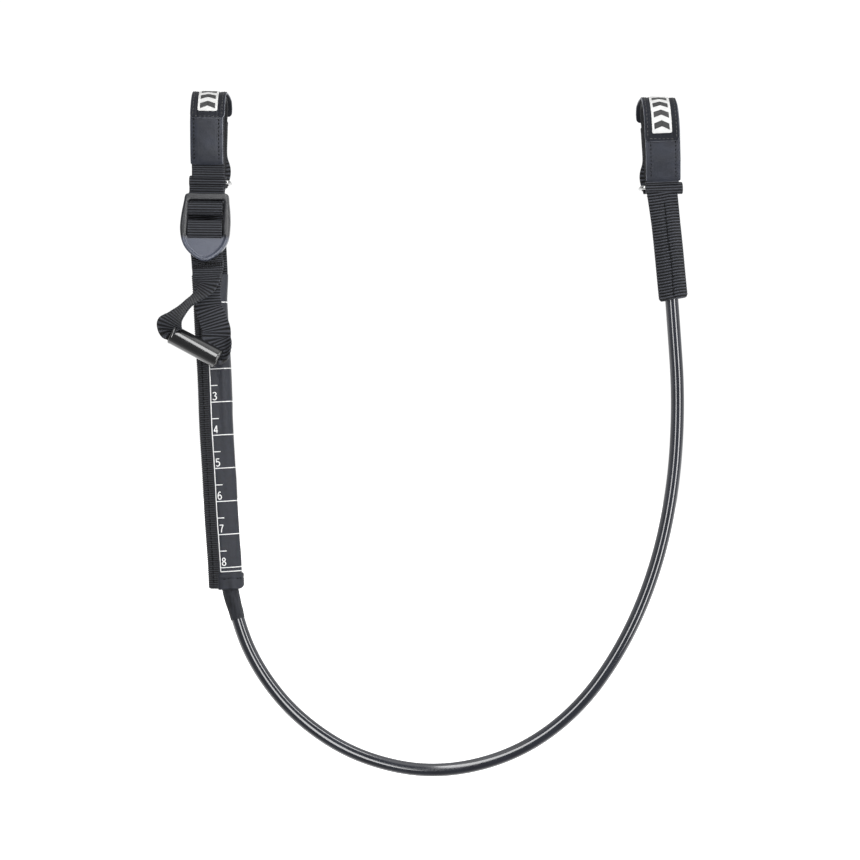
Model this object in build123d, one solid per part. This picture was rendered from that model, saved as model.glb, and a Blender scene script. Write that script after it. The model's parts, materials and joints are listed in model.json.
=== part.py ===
from build123d import *
import math
import os

os.makedirs("parts", exist_ok=True)

# Windsurfing harness line. Origin on the axis of the left boom strap's grip.
# +X runs along the boom to the right strap, +Y points away from the sailor, +Z is up.
# All sizes are in millimetres.

# Boom straps
STRAP_X = {"left": 0.0, "right": 272.4}      # centre of each strap along the boom
GRIP_RADIUS = 14.5                           # boom tube radius that the strap closes on
LOOP_DISCS = [(0, 14.5), (-14, 11.5), (-30, 4.6)]   # height and radius: the loop is their hull
STRAP_WIDTH = 19.8
PATCH_WIDTH = 21.0
LABEL_WIDTH = 11.8
LABEL_MARGIN = 4.0                           # from the patch's front edge up to the label
LABEL_BACK = 6.0
FAR = 60.0                                   # beyond every section of a strap
LAYERS = {                                   # start and end of each layer outside the grip surface
    "lining": (0.0, 1.4),
    "core": (1.4, 2.9),
    "pad": (2.9, 4.1),
    "hook_tape": (2.9, 3.8),
    "loop_tape": (4.1, 5.0),
    "flap": (5.0, 6.4),
    "patch": (4.1, 5.4),
    "label": (5.4, 5.7),
}
PAD_BOTTOM = -25.8                           # lower edge of the padded front
PATCH_FRONT = 1.2                            # lower edge of the top patch, front and back
PATCH_BACK = 8.0
FLAP_TOP = 6.8                               # free end of the hook-and-loop flap
LIMB_BOTTOM = -28.5                          # the loop's own layers stop above the ring

# Rings: a welded rectangle of round wire, its long bars along X
RING_Z = -34.8
FRONT_BAR_Y = -4.5
REAR_BAR_Y = 7.4
WIRE_RADIUS = 1.2
RING_WIDTH = 24.4                            # between the centres of the side bars
RING_CORNER = 2.2
BAND_RADIUS = 3.6
FIT = 0.05                                   # radial running clearance
GAP = 0.3                                    # free space between soft pieces on different bodies

# Webbing of the line
WEB_WIDTH = 19.8
WEB_THICK = 1.5
HANGER_X = 0.7
HANGER_BACK = 1.4                            # depth behind the front bars
LINK_FRONT = -3.1

# Buckle: a ladder lock that turns on its upper cross bar
BUCKLE_X = -0.8
BAR_Y = -13.7                                # cross bar the link webbing is looped on
BAR_Z = -51.3
BAR_RADIUS = 2.6
LINK_RADIUS = 4.2
GRIP_BAR_DROP = 11.4
GRIP_BAR_DEPTH = 3.4
GRIP_BAR_HEIGHT = 6.4
GRIP_BAR_CORNER = 1.2
TURN_DEPTH = 3.5                             # middle room of the webbing's turn round the grip bar
TURN_HEIGHT = 6.5
TURN_CORNER = 2.4
TURN_FIT = 0.04
FRAME_FRONT = -3.8                           # depths from the cross bar's axis
FRAME_BACK = 3.2
FRAME_TOP = 9.6                              # heights and half widths from the cross bar's middle
FRAME_SHOULDER = 8.0
FRAME_WIDEST = -12.0
FRAME_ROUND = 1.0
HALF_TOP = 13.2
HALF_WIDE = 14.8
HALF_NOSE = 14.5
WINDOW_HALF = 10.8
WINDOW_TOP = 5.5
NOSE_TOP = -17.4
NOSE_START = -19.0
NOSE_CHEEK = (8.6, -27.6)
NOSE_TIP = -31.8
NOSE_THICK = 2.6

# Scale sleeve
SLEEVE_TOP = Vector(0.9, FRONT_BAR_Y, -91.2)
SLEEVE_TILT = 3.86                           # degrees; its lower end leans to the right
SLEEVE_LENGTH = 188.4
HEM_LENGTH = 9.6
SLEEVE_WALL = 1.1
SLEEVE_SECTION = [(-10.2, -2.0), (-2.8, -9.6), (6.0, -10.1), (10.2, -6.0),
                  (10.2, -1.2), (8.0, 1.5), (-9.4, 1.5)]
WEBBING_EDGE = -3.1                          # the ribbed webbing ends here, beside the front corner
HEM_PROUD = 0.4
ADJUSTING_WIDTH = 15.6                       # the webbing inside the sleeve
ADJUSTING_DEPTH = -0.8
ADJUSTING_LENGTH = 166.0

# Pull tail
HANDLE_A = Vector(-17.4, -20.3, -128.2)      # ends of the handle's axis
HANDLE_B = Vector(8.9, -20.3, -141.6)
HANDLE_RADIUS = 4.75
HANDLE_BORE = 3.45
LIMB_FRONT = -18.6                           # front faces of the two limbs of the tail's loop
LIMB_BACK = -16.9
LEAD_END = -88.5                             # bar tack that closes the loop
LEAD_WIDTH = 18.6
FRONT_LIMB = [(-10.2, -88.5), (8.4, -88.5), (6.6, -96.0), (-0.6, -103.0), (-11.2, -112.6),
              (-12.4, -120.6), (-16.0, -123.6), (-22.4, -127.6), (-27.0, -120.4), (-24.2, -116.0),
              (-16.8, -111.4), (-11.8, -104.0)]
BACK_LIMB = [(-7.6, -100.0), (6.8, -98.6), (9.2, -110.0), (13.0, -120.6), (14.0, -125.4),
             (12.2, -131.0), (4.6, -135.0), (-3.6, -130.4), (-6.0, -115.0)]

# Right sleeve
RIGHT_TILT = 6.25
RIGHT_LENGTH = 67.4
RIGHT_WIDTH = 17.2
RIGHT_DEPTH = 11.2
RIGHT_SOLID = 6.0                            # the two layers are sewn flat together down to here
ANCHOR_LENGTH = 37.5

# Flexible tube with its rope core
TUBE_RADIUS = 4.0
TUBE_BORE = 2.8
ROPE_RADIUS = 2.5
TUBE_ROUTE = [
    (277.3, -4.5, -80.0),
    (280.6, -4.5, -117.0),
    (284.2, -4.7, -163.0),
    (281.9, -5.0, -215.0),
    (271.7, -5.4, -265.0),
    (252.8, -5.8, -311.0),
    (225.2, -6.2, -350.5),
    (187.5, -6.6, -377.5),
    (140.5, -7.2, -388.6),
    (94.8, -7.8, -379.6),
    (59.2, -8.3, -357.4),
    (35.2, -8.6, -329.5),
    (20.8, -8.7, -299.0),
    (14.2, -8.7, -268.5),
]
COVER_BOTTOM = -295.5
COVER_RADIUS = 4.5


def save(name, shape):
    """Write one node as a STEP file."""
    shape.label = name
    export_step(shape, f"parts/{name}.step")


def along_x(section, width, x=0.0):
    """Extrude a section drawn in Y and Z to a width centred on x."""
    solid = extrude(Plane.YZ * section, amount=width / 2, both=True)
    return Pos(x, 0, 0) * solid


def box_between(low, high):
    """A box from its lowest to its highest corner."""
    size = [b - a for a, b in zip(low, high)]
    middle = [(a + b) / 2 for a, b in zip(low, high)]
    return Pos(*middle) * Box(*size)


def rect_between(low, high):
    """A rectangle from its lowest to its highest corner, in a section's plane."""
    middle = [(a + b) / 2 for a, b in zip(low, high)]
    return Pos(*middle) * Rectangle(high[0] - low[0], high[1] - low[1])


def disc(y, z, radius):
    """A disc in a section's plane."""
    return Pos(y, z) * Circle(radius)


def teardrop(offset):
    """The boom strap's section, this far outside the grip surface."""
    discs = [disc(0, z, radius + offset) for z, radius in LOOP_DISCS]
    return make_hull([edge for each in discs for edge in each.edges()])


def layer(name):
    """One closed layer of the strap's section."""
    start, end = LAYERS[name]
    return teardrop(end) - teardrop(start)


def strap_layer(side, name, low, high, width=STRAP_WIDTH):
    """The part of a strap layer whose section lies between two corners."""
    section = layer(name) & rect_between(low, high)
    return along_x(section, width, STRAP_X[side])


def ring(side):
    """Rectangular ring of round wire."""
    middle = Vector(STRAP_X[side], (FRONT_BAR_Y + REAR_BAR_Y) / 2, RING_Z)
    path = RectangleRounded(RING_WIDTH, REAR_BAR_Y - FRONT_BAR_Y, RING_CORNER).wire()
    start = Plane(origin=path @ 0, z_dir=path % 0)
    return Location(middle) * sweep(start * Circle(WIRE_RADIUS), path=path)


def flap(side):
    """Free end of the strap: folded round the ring's rear bar and up the strap's back."""
    start, end = LAYERS["flap"]
    limb = layer("flap") & rect_between((2, RING_Z + 0.5), (FAR, FLAP_TOP))
    inner = WIRE_RADIUS + FIT
    fold = disc(REAR_BAR_Y, RING_Z, inner + end - start) - disc(REAR_BAR_Y, RING_Z, inner)
    fold &= rect_between((REAR_BAR_Y - 1.6, RING_Z - 4), (REAR_BAR_Y + 4, RING_Z + 2.2))
    return along_x(limb + fold, STRAP_WIDTH, STRAP_X[side])


def boom_strap(side):
    """Every piece of one boom strap."""
    x = STRAP_X[side]
    save(f"{side}_strap_lining", strap_layer(side, "lining", (-FAR, LIMB_BOTTOM), (FAR, FAR)))
    save(f"{side}_strap_pad", strap_layer(side, "pad", (-FAR, PAD_BOTTOM), (0, FAR)))
    save(f"{side}_hook_tape", strap_layer(side, "hook_tape", (0, LIMB_BOTTOM + 2), (FAR, FLAP_TOP)))
    save(f"{side}_loop_tape", strap_layer(side, "loop_tape", (0, LIMB_BOTTOM + 4), (FAR, FLAP_TOP)))
    above_ends = rect_between((-FAR, PATCH_FRONT), (0, FAR)) + rect_between((0, PATCH_BACK), (FAR, FAR))
    save(f"{side}_top_patch", along_x(layer("patch") & above_ends, PATCH_WIDTH, x))
    label_end = (-FAR, PATCH_FRONT + LABEL_MARGIN)
    save(f"{side}_label", strap_layer(side, "label", label_end, (LABEL_BACK, FAR), LABEL_WIDTH))

    core = layer("core") & rect_between((-FAR, LIMB_BOTTOM), (FAR, FAR))
    stub = layer("core") & rect_between((-FAR, RING_Z), (0, LIMB_BOTTOM))
    band = disc(FRONT_BAR_Y, RING_Z, BAND_RADIUS)
    save(f"{side}_strap_webbing", along_x(core + (stub - band), STRAP_WIDTH, x))
    band -= disc(FRONT_BAR_Y, RING_Z, WIRE_RADIUS + FIT)
    save(f"{side}_ring_band", along_x(band, STRAP_WIDTH, x))
    save(f"{side}_ring", ring(side))
    save(f"{side}_strap_flap", flap(side))


def local_x(section, width):
    """Extrude a section drawn in depth and height to a width centred on zero."""
    return extrude(Plane.YZ * section, amount=width / 2, both=True)


def polygon(points):
    """A closed face through points, in a section's plane."""
    return make_face(Polyline(*points, close=True))


def hanger_webbing():
    """Back layer of the line: from under the left ring's band down to the scale sleeve."""
    back = FRONT_BAR_Y + HANGER_BACK
    low = (back - WEB_THICK, SLEEVE_TOP.Z + 0.9)
    section = rect_between(low, (back, RING_Z))
    section -= disc(FRONT_BAR_Y, RING_Z, BAND_RADIUS + FIT)
    save("hanger_webbing", along_x(section, WEB_WIDTH, HANGER_X))


def link_webbing():
    """Sewn loop that ties the left ring's band to the buckle's cross bar."""
    front = FRONT_BAR_Y + LINK_FRONT
    back = FRONT_BAR_Y + HANGER_BACK - WEB_THICK
    foot_z = BAR_Z + 1.5
    foot = disc((front + back) / 2, foot_z, (back - front) / 2)
    roll = disc(BAR_Y, BAR_Z, LINK_RADIUS)
    section = make_hull(roll.edges() + foot.edges())
    section += rect_between((front, foot_z), (back, RING_Z))
    section -= disc(BAR_Y, BAR_Z, BAR_RADIUS + FIT)
    section -= disc(FRONT_BAR_Y, RING_Z, BAND_RADIUS + FIT)
    save("link_webbing", along_x(section, WEB_WIDTH, BUCKLE_X / 2))


def buckle():
    """Ladder lock: two side rails, top bar, cross bar, grip bar and a nose plate."""
    chamfer = FRAME_TOP - FRAME_SHOULDER
    side = [(HALF_NOSE, NOSE_START), (HALF_WIDE, FRAME_WIDEST), (HALF_TOP, FRAME_SHOULDER),
            (HALF_TOP - chamfer, FRAME_TOP)]
    other_side = [(-x, z) for x, z in reversed(side)]
    cheek_x, cheek_z = NOSE_CHEEK
    nose = [other_side[-1], (-cheek_x, cheek_z), (0, NOSE_TIP), NOSE_CHEEK, side[0]]
    with BuildLine() as outline:
        Polyline(*side, *other_side)
        Spline(*nose, tangents=((0.12, -1), (0.12, 1)))
    face = make_face(outline.line)
    plate = extrude(Plane.XZ * face, amount=-(FRAME_BACK - FRAME_FRONT))
    plate = Pos(0, FRAME_FRONT, 0) * plate
    window = box_between((-WINDOW_HALF, -9, NOSE_TOP), (WINDOW_HALF, 9, WINDOW_TOP))
    under = box_between((-WINDOW_HALF, FRAME_FRONT + NOSE_THICK, NOSE_TIP - 5), (WINDOW_HALF, 9, NOSE_TOP + 1))
    body = plate - window - under
    front_edges = body.edges().filter_by_position(Axis.Y, FRAME_FRONT - 0.01, FRAME_FRONT + 0.01)
    body = fillet(front_edges, FRAME_ROUND)
    cross_bar = local_x(disc(0, 0, BAR_RADIUS), 2 * WINDOW_HALF)
    grip_section = Pos(0, -GRIP_BAR_DROP) * RectangleRounded(GRIP_BAR_DEPTH, GRIP_BAR_HEIGHT, GRIP_BAR_CORNER)
    grip_bar = local_x(grip_section, 2 * WINDOW_HALF)
    body += cross_bar + grip_bar
    save("buckle", Pos(BUCKLE_X, BAR_Y, BAR_Z) * body)


def buckle_webbing():
    """Turn of the adjusting webbing round the grip bar."""
    inner = RectangleRounded(GRIP_BAR_DEPTH + TURN_FIT, GRIP_BAR_HEIGHT + TURN_FIT, GRIP_BAR_CORNER)
    outer = RectangleRounded(TURN_DEPTH + 2 * WEB_THICK, TURN_HEIGHT + 2 * WEB_THICK, TURN_CORNER)
    section = Pos(BAR_Y, BAR_Z - GRIP_BAR_DROP) * (outer - inner)
    save("buckle_webbing", along_x(section, WEB_WIDTH, BUCKLE_X))


def sleeve_place(drop_by):
    """The scale sleeve's own place, moved down its axis from the middle of its top edge."""
    return Location((SLEEVE_TOP.X, SLEEVE_TOP.Y, SLEEVE_TOP.Z), (0, -SLEEVE_TILT, 0)) * Pos(0, 0, -drop_by)


def sleeve_wall(grow=0.0):
    """The sleeve's closed wall in section, seen from above."""
    outer = fillet(polygon(SLEEVE_SECTION).vertices(), 1.2)
    inner = offset(outer, amount=-SLEEVE_WALL)
    if grow:
        outer = offset(outer, amount=grow)
    return outer - inner


def drop(section, top, length):
    """Extrude a section seen from above, downwards from a height in the sleeve's place."""
    return sleeve_place(top) * extrude(section, amount=-length)


def scale_sleeve():
    """Ribbed webbing on the left and back, printed panel on the front and right, and a hem."""
    edge = WEBBING_EDGE
    webbed = polygon([(-14, 4), (-14, -14), (edge, -14), (edge, -0.8), (7.4, -0.8), (7.4, 4)])
    wall = sleeve_wall()
    panel_length = SLEEVE_LENGTH - HEM_LENGTH
    save("sleeve_webbing", drop(wall & webbed, 0, SLEEVE_LENGTH))
    save("scale_panel", drop(wall - webbed, 0, panel_length))
    save("sleeve_hem", drop(sleeve_wall(HEM_PROUD) - webbed, panel_length, HEM_LENGTH))


def adjusting_webbing():
    """Webbing from the tube's end, up inside the sleeve, to the back of the buckle's grip bar."""
    run = drop(Pos(-0.4, ADJUSTING_DEPTH) * Rectangle(ADJUSTING_WIDTH, WEB_THICK), 1.0, ADJUSTING_LENGTH)
    low = FRONT_BAR_Y + ADJUSTING_DEPTH
    high = BAR_Y + TURN_DEPTH / 2 + WEB_THICK + GAP
    top = BAR_Z - GRIP_BAR_DROP - 1.0
    bottom = SLEEVE_TOP.Z - 1.4
    half = WEB_THICK / 2
    section = polygon([(low - half, bottom), (low + half, bottom), (high + WEB_THICK, top), (high, top)])
    rise = along_x(section, ADJUSTING_WIDTH, 1.2)
    save("adjusting_webbing", run + rise)


def ribbon(points, front, thick):
    """A flat piece of webbing: its outline in X and Z, its front face's depth and its thickness."""
    face = make_face(Polyline(*points, close=True))
    solid = extrude(Plane.XZ * face, amount=-thick)
    return Pos(0, front, 0) * solid


def pull_tail():
    """Sewn loop of webbing that comes out under the nose plate and holds the pull handle."""
    lead_top = BAR_Z - GRIP_BAR_DROP - TURN_HEIGHT / 2 - WEB_THICK - GAP
    behind_nose = BAR_Y + FRAME_FRONT + NOSE_THICK + GAP
    bend = BAR_Z + NOSE_TIP - GAP
    section = polygon([
        (behind_nose, lead_top),
        (behind_nose + WEB_THICK, lead_top),
        (behind_nose + WEB_THICK, bend + 0.5),
        (LIMB_FRONT + WEB_THICK, LEAD_END),
        (LIMB_FRONT, LEAD_END),
        (behind_nose, bend - 0.3),
    ])
    save("tail_lead", along_x(section, LEAD_WIDTH, BUCKLE_X))
    save("tail_front_limb", ribbon(FRONT_LIMB, LIMB_FRONT, WEB_THICK))
    save("tail_back_limb", ribbon(BACK_LIMB, LIMB_BACK, WEB_THICK))


def pull_handle():
    """Plastic tube on the tail's end, with the gathered webbing inside it."""
    along = (HANDLE_B - HANDLE_A).normalized()
    plane = Plane(origin=HANDLE_A, z_dir=along)
    length = (HANDLE_B - HANDLE_A).length
    shell = extrude(plane * (Circle(HANDLE_RADIUS) - Circle(HANDLE_BORE)), amount=length)
    rims = shell.edges().filter_by(GeomType.CIRCLE)
    save("pull_handle", fillet(rims, 0.5))
    save("tail_in_handle", extrude(plane * Circle(HANDLE_BORE - 0.3), amount=length))


def tube_path(points):
    """Straight runs joined by arcs as large as the runs allow. Prints the arcs' radii."""
    points = [Vector(*p) for p in points]
    radii = []
    for before, here, after in zip(points, points[1:], points[2:]):
        turn = (here - before).get_angle(after - here)
        shorter = min((here - before).length, (after - here).length)
        radii.append(0.45 * shorter / math.tan(math.radians(turn / 2)))
    print("tube radii", [round(r) for r in radii])
    return FilletPolyline(*points, radius=radii)


def swept(path, section):
    """Sweep a round section along a path."""
    start = Plane(origin=path @ 0, z_dir=path % 0)
    return sweep(start * section, path=path)


def flexible_tube():
    """The tube, its rope core and the cover over its end in the sleeve."""
    path = tube_path(TUBE_ROUTE)
    tube = swept(path, Circle(TUBE_RADIUS) - Circle(TUBE_BORE))
    rope = swept(path, Circle(ROPE_RADIUS))
    print("tube length", round(path.length, 1), "volume", round(tube.volume),
          "expected", round(math.pi * (TUBE_RADIUS ** 2 - TUBE_BORE ** 2) * path.length))
    save("flexible_tube", tube)
    save("rope_core", rope)
    end_path = tube_path(TUBE_ROUTE[-3:])
    cover = swept(end_path, Circle(COVER_RADIUS) - Circle(TUBE_RADIUS + 0.02))
    save("tube_end_cover", cover & box_between((-FAR, -FAR, COVER_BOTTOM), (FAR, FAR, 0)))


def right_sleeve():
    """Two layers of webbing sewn together along their sides, with the tube's end between them."""
    place = Location((STRAP_X["right"] - 0.2, FRONT_BAR_Y, RING_Z), (0, -RIGHT_TILT, 0))
    outer = RectangleRounded(RIGHT_WIDTH, RIGHT_DEPTH, 4.6)
    inner = RectangleRounded(RIGHT_WIDTH - 3.2, RIGHT_DEPTH - 2.8, 3.6)
    wall = extrude(outer - inner, amount=-RIGHT_LENGTH)
    closed = extrude(outer, amount=-RIGHT_SOLID)
    band = place.inverse() * along_x(disc(FRONT_BAR_Y, RING_Z, BAND_RADIUS + FIT), 60, STRAP_X["right"])
    shell = wall + closed - band
    shell -= box_between((-30, -30, -2.0), (30, 30, 30))
    front = shell & box_between((-30, -30, -80), (30, -0.02, 10))
    back = shell & box_between((-30, 0.02, -80), (30, 30, 10))
    save("right_sleeve_front", place * front)
    save("right_sleeve_back", place * back)
    tongue_top = -RIGHT_SOLID - 0.5
    tongue = box_between((-5, -0.8, tongue_top - ANCHOR_LENGTH), (5, 0.8, tongue_top))
    save("right_anchor_webbing", place * tongue)


for side in STRAP_X:
    boom_strap(side)
hanger_webbing()
link_webbing()
buckle()
buckle_webbing()
scale_sleeve()
adjusting_webbing()
pull_tail()
pull_handle()
flexible_tube()
right_sleeve()
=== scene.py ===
import json
import math

import bpy
import numpy as np
from mathutils import Matrix, Vector

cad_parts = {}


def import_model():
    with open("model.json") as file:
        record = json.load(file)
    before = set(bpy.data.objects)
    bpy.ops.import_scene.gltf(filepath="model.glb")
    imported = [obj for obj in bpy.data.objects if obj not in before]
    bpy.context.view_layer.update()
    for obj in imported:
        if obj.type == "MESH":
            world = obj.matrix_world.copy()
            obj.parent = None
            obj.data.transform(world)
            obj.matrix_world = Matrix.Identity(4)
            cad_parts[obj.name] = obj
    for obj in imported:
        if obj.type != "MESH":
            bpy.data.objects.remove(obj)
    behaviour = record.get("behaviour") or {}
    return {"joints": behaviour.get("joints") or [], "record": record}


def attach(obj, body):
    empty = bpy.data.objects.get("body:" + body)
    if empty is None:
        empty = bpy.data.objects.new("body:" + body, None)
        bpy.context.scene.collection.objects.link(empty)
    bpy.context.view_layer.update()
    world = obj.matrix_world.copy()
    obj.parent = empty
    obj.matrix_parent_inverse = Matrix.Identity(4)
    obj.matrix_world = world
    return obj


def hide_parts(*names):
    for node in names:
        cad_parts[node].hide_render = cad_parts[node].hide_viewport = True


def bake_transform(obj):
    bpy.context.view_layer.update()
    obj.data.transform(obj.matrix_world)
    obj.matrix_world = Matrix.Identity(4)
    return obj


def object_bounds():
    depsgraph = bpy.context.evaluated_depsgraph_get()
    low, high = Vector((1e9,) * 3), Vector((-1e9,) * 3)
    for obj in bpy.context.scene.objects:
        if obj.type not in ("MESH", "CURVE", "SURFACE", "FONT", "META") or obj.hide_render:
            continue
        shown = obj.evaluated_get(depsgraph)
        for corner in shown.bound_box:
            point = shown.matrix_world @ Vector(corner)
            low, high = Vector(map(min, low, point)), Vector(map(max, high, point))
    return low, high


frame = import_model()
cad_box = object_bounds()

MM = 0.001
SIDES = ("left", "right")
JOINTS = {joint["name"]: joint for joint in frame["joints"]}
MOUNTS = {mount["name"]: mount for mount in frame["record"]["mounts"]}


# ---------------------------------------------------------------- places, in millimetres

def joint_mm(name):
    return np.array(JOINTS[name]["pos_m"]) / MM


STRAP_X = {side: MOUNTS[f"boom_{side}"]["pos_m"][0] / MM for side in SIDES}
FRONT_BAR = joint_mm("line_swing")
REAR_BAR = joint_mm("left_flap_open")
CROSS_BAR = joint_mm("buckle_release")
SLEEVE_DOWN = np.array(JOINTS["handle_pull"]["axis"])


# ---------------------------------------------------------------- camera

PHOTO_SPAN = 0.516                 # metres across the picture at the line's own depth
CAMERA_DISTANCE = 1.5
ROLL = math.radians(0.75)          # the boom falls a little to the right in the picture


def camera():
    data = bpy.data.cameras.new("camera")
    data.sensor_width = 36
    data.lens = data.sensor_width * CAMERA_DISTANCE / PHOTO_SPAN
    data.clip_end = 20
    obj = bpy.data.objects.new("camera", data)
    bpy.context.scene.collection.objects.link(obj)
    right = Vector((math.cos(ROLL), 0, math.sin(ROLL)))
    up = Vector((-math.sin(ROLL), 0, math.cos(ROLL)))
    back = Vector((0, -1, 0))
    turn = Matrix((right, up, back)).transposed().to_4x4()
    obj.matrix_world = Matrix.Translation((0.135, -CAMERA_DISTANCE - 0.007, -0.1822)) @ turn
    bpy.context.scene.camera = obj


camera()


# ---------------------------------------------------------------- material building

class Nodes:
    """A short way to write a material's node tree."""

    def __init__(self, name):
        self.material = bpy.data.materials.new(name)
        self.material.use_nodes = True
        self.tree = self.material.node_tree
        self.shader = self.tree.nodes["Principled BSDF"]

    def add(self, kind, values=(), **settings):
        node = self.tree.nodes.new("ShaderNode" + kind)
        for key, value in settings.items():
            setattr(node, key, value)
        for key, value in dict(values).items():
            if hasattr(value, "is_output") or hasattr(value, "links"):
                self.tree.links.new(value, node.inputs[key])
            else:
                node.inputs[key].default_value = value
        return node

    def set(self, **values):
        for key, value in values.items():
            name = key.replace("_", " ")
            if hasattr(value, "links"):
                self.tree.links.new(value, self.shader.inputs[name])
            else:
                self.shader.inputs[name].default_value = value

    def math(self, kind, a, b=0.0):
        return self.add("Math", {0: a, 1: b}, operation=kind).outputs[0]

    def ramp(self, factor, stops):
        node = self.add("ValToRGB", {"Fac": factor})
        elements = node.color_ramp.elements
        while len(elements) < len(stops):
            elements.new(0.5)
        for element, (place, color) in zip(elements, stops):
            element.position = place
            element.color = (*color, 1)
        return node.outputs["Color"]

    def noise(self, vector, scale, detail=3.0, rough=0.55):
        values = {"Vector": vector, "Scale": scale, "Detail": detail, "Roughness": rough}
        return self.add("TexNoise", values).outputs["Fac"]

    def place(self):
        """Position on the piece, in millimetres."""
        spot = self.add("TexCoord").outputs["Object"]
        return self.add("VectorMath", {0: spot, 1: (1000, 1000, 1000)}, operation="MULTIPLY").outputs[0]

    def cloth(self):
        """Place on the cloth in millimetres: across, along, and on ribbons a weight near the edges that the leatherette
        uses for its painted edge highlight (0 on the sleeve's sheets).
        """
        return self.add("Attribute", attribute_name="cloth").outputs["Vector"]

    def split(self, vector):
        return self.add("SeparateXYZ", {"Vector": vector}).outputs

    def bump(self, height, strength, distance_mm):
        values = {"Height": height, "Strength": strength, "Distance": distance_mm * MM}
        self.tree.links.new(self.add("Bump", values).outputs[0], self.shader.inputs["Normal"])


def grey(value, blue=0.0):
    return (value, value * (1 + blue * 0.22), value * (1 + blue))


def webbing_material(dark=0.0006, light=0.044):
    n = Nodes("webbing")
    cloth = n.cloth()
    across, along, _ = n.split(cloth)
    yarn = n.math("SINE", n.math("MULTIPLY", across, 2 * math.pi / 0.62))
    weft = n.math("SINE", n.math("MULTIPLY", along, 2 * math.pi / 0.5))
    fuzz = n.noise(cloth, 2.4, 5.0, 0.7)
    patch = n.noise(cloth, 0.16, 2.0)
    ridge = n.add("Attribute", attribute_name="ridge").outputs["Fac"]
    # The ridge weight paints rib tops lighter and the grooves between them darker: painted highlight and painted shade
    # on the ribs.
    tone = n.math("ADD", n.math("MULTIPLY", ridge, 0.72), n.math("MULTIPLY", fuzz, 0.30))
    tone = n.math("ADD", tone, n.math("MULTIPLY", patch, 0.10))
    n.set(Base_Color=n.ramp(tone, [(0.35, grey(dark, 0.3)), (0.75, grey(light * 0.55, 0.3)), (1.0, grey(light, 0.3))]), Roughness=0.75)
    n.set(Sheen_Weight=0.05, Sheen_Roughness=0.5, Specular_IOR_Level=0.2)
    height = n.math("ADD", n.math("MULTIPLY", yarn, 0.35), n.math("MULTIPLY", weft, 0.12))
    n.bump(n.math("ADD", height, n.math("MULTIPLY", fuzz, 0.9)), 0.55, 0.12)
    return n.material


def leatherette_material(name="leatherette", shade=1.0):
    # shade below 1 gives a darker, less shiny copy of the leatherette: painted shade.
    n = Nodes(name)
    spot = n.place()
    cells = n.add("TexVoronoi", {"Vector": spot, "Scale": 1.9}, feature="DISTANCE_TO_EDGE").outputs["Distance"]
    grain = n.noise(spot, 1.1, 5.0, 0.65)
    crease = n.noise(spot, 0.13, 3.0)
    # Lighter towards the cut edges, up to a pale grey: a painted highlight on the bevelled edges.
    edge = n.split(n.cloth())[2]
    tone = n.math("ADD", n.math("MULTIPLY", crease, 0.5), n.math("MULTIPLY", edge, 0.8))
    n.set(Base_Color=n.ramp(tone, [(0.12, grey(0.009 * shade, 0.6)), (0.45, grey(0.017 * shade, 0.8)),
                                     (0.62, grey(0.028 * shade, 0.7)), (1.0, grey(0.20, 0.12))]))
    n.set(Roughness=n.math("ADD", n.math("MULTIPLY", grain, 0.25), 0.42), Specular_IOR_Level=0.3 * shade)
    height = n.math("ADD", n.math("MULTIPLY", cells, 0.8), n.math("MULTIPLY", grain, 0.7))
    n.bump(n.math("ADD", height, n.math("MULTIPLY", crease, 1.2)), 0.35, 0.2)
    return n.material


def lining_material():
    n = Nodes("grip_lining")
    spot = n.place()
    dots = n.add("TexVoronoi", {"Vector": spot, "Scale": 1.2}).outputs["Distance"]
    fine = n.noise(spot, 3.0, 4.0)
    n.set(Base_Color=n.ramp(fine, [(0.3, grey(0.006, 0.2)), (0.8, grey(0.014, 0.2))]), Roughness=0.8)
    n.set(Specular_IOR_Level=0.2)
    n.bump(n.math("ADD", dots, n.math("MULTIPLY", fine, 0.4)), 0.5, 0.25)
    return n.material


def hook_material():
    n = Nodes("hook_and_loop")
    spot = n.place()
    loops = n.add("TexVoronoi", {"Vector": spot, "Scale": 2.6}).outputs["Distance"]
    fuzz = n.noise(spot, 5.0, 5.0, 0.7)
    n.set(Base_Color=n.ramp(loops, [(0.1, grey(0.014)), (0.6, grey(0.003))]), Roughness=0.95)
    n.set(Sheen_Weight=0.06, Sheen_Roughness=0.5, Specular_IOR_Level=0.15)
    n.bump(n.math("ADD", loops, fuzz), 0.8, 0.35)
    return n.material


def steel_material():
    n = Nodes("stainless_steel")
    spot = n.place()
    scratch = n.noise(n.add("VectorMath", {0: spot, 1: (0.3, 6, 6)}, operation="MULTIPLY").outputs[0], 1.0, 4.0)
    n.set(Base_Color=n.ramp(scratch, [(0.2, grey(0.20)), (0.9, grey(0.42))]), Metallic=1.0)
    n.set(Roughness=n.math("ADD", n.math("MULTIPLY", scratch, 0.18), 0.12))
    n.bump(scratch, 0.12, 0.05)
    return n.material


def plastic_material(name, tone, rough, grain_scale, grain_height, blue=0.1, ior=1.5):
    n = Nodes(name)
    spot = n.place()
    grain = n.noise(spot, grain_scale, 3.0)
    cloud = n.noise(spot, 0.12, 3.0)
    n.set(Base_Color=n.ramp(cloud, [(0.3, grey(tone * 0.8, blue)), (0.75, grey(tone * 1.25, blue))]))
    n.set(Roughness=n.math("ADD", n.math("MULTIPLY", cloud, rough * 0.5), rough * 0.75), IOR=ior)
    n.bump(grain, grain_height, 0.1)
    return n.material


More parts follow.
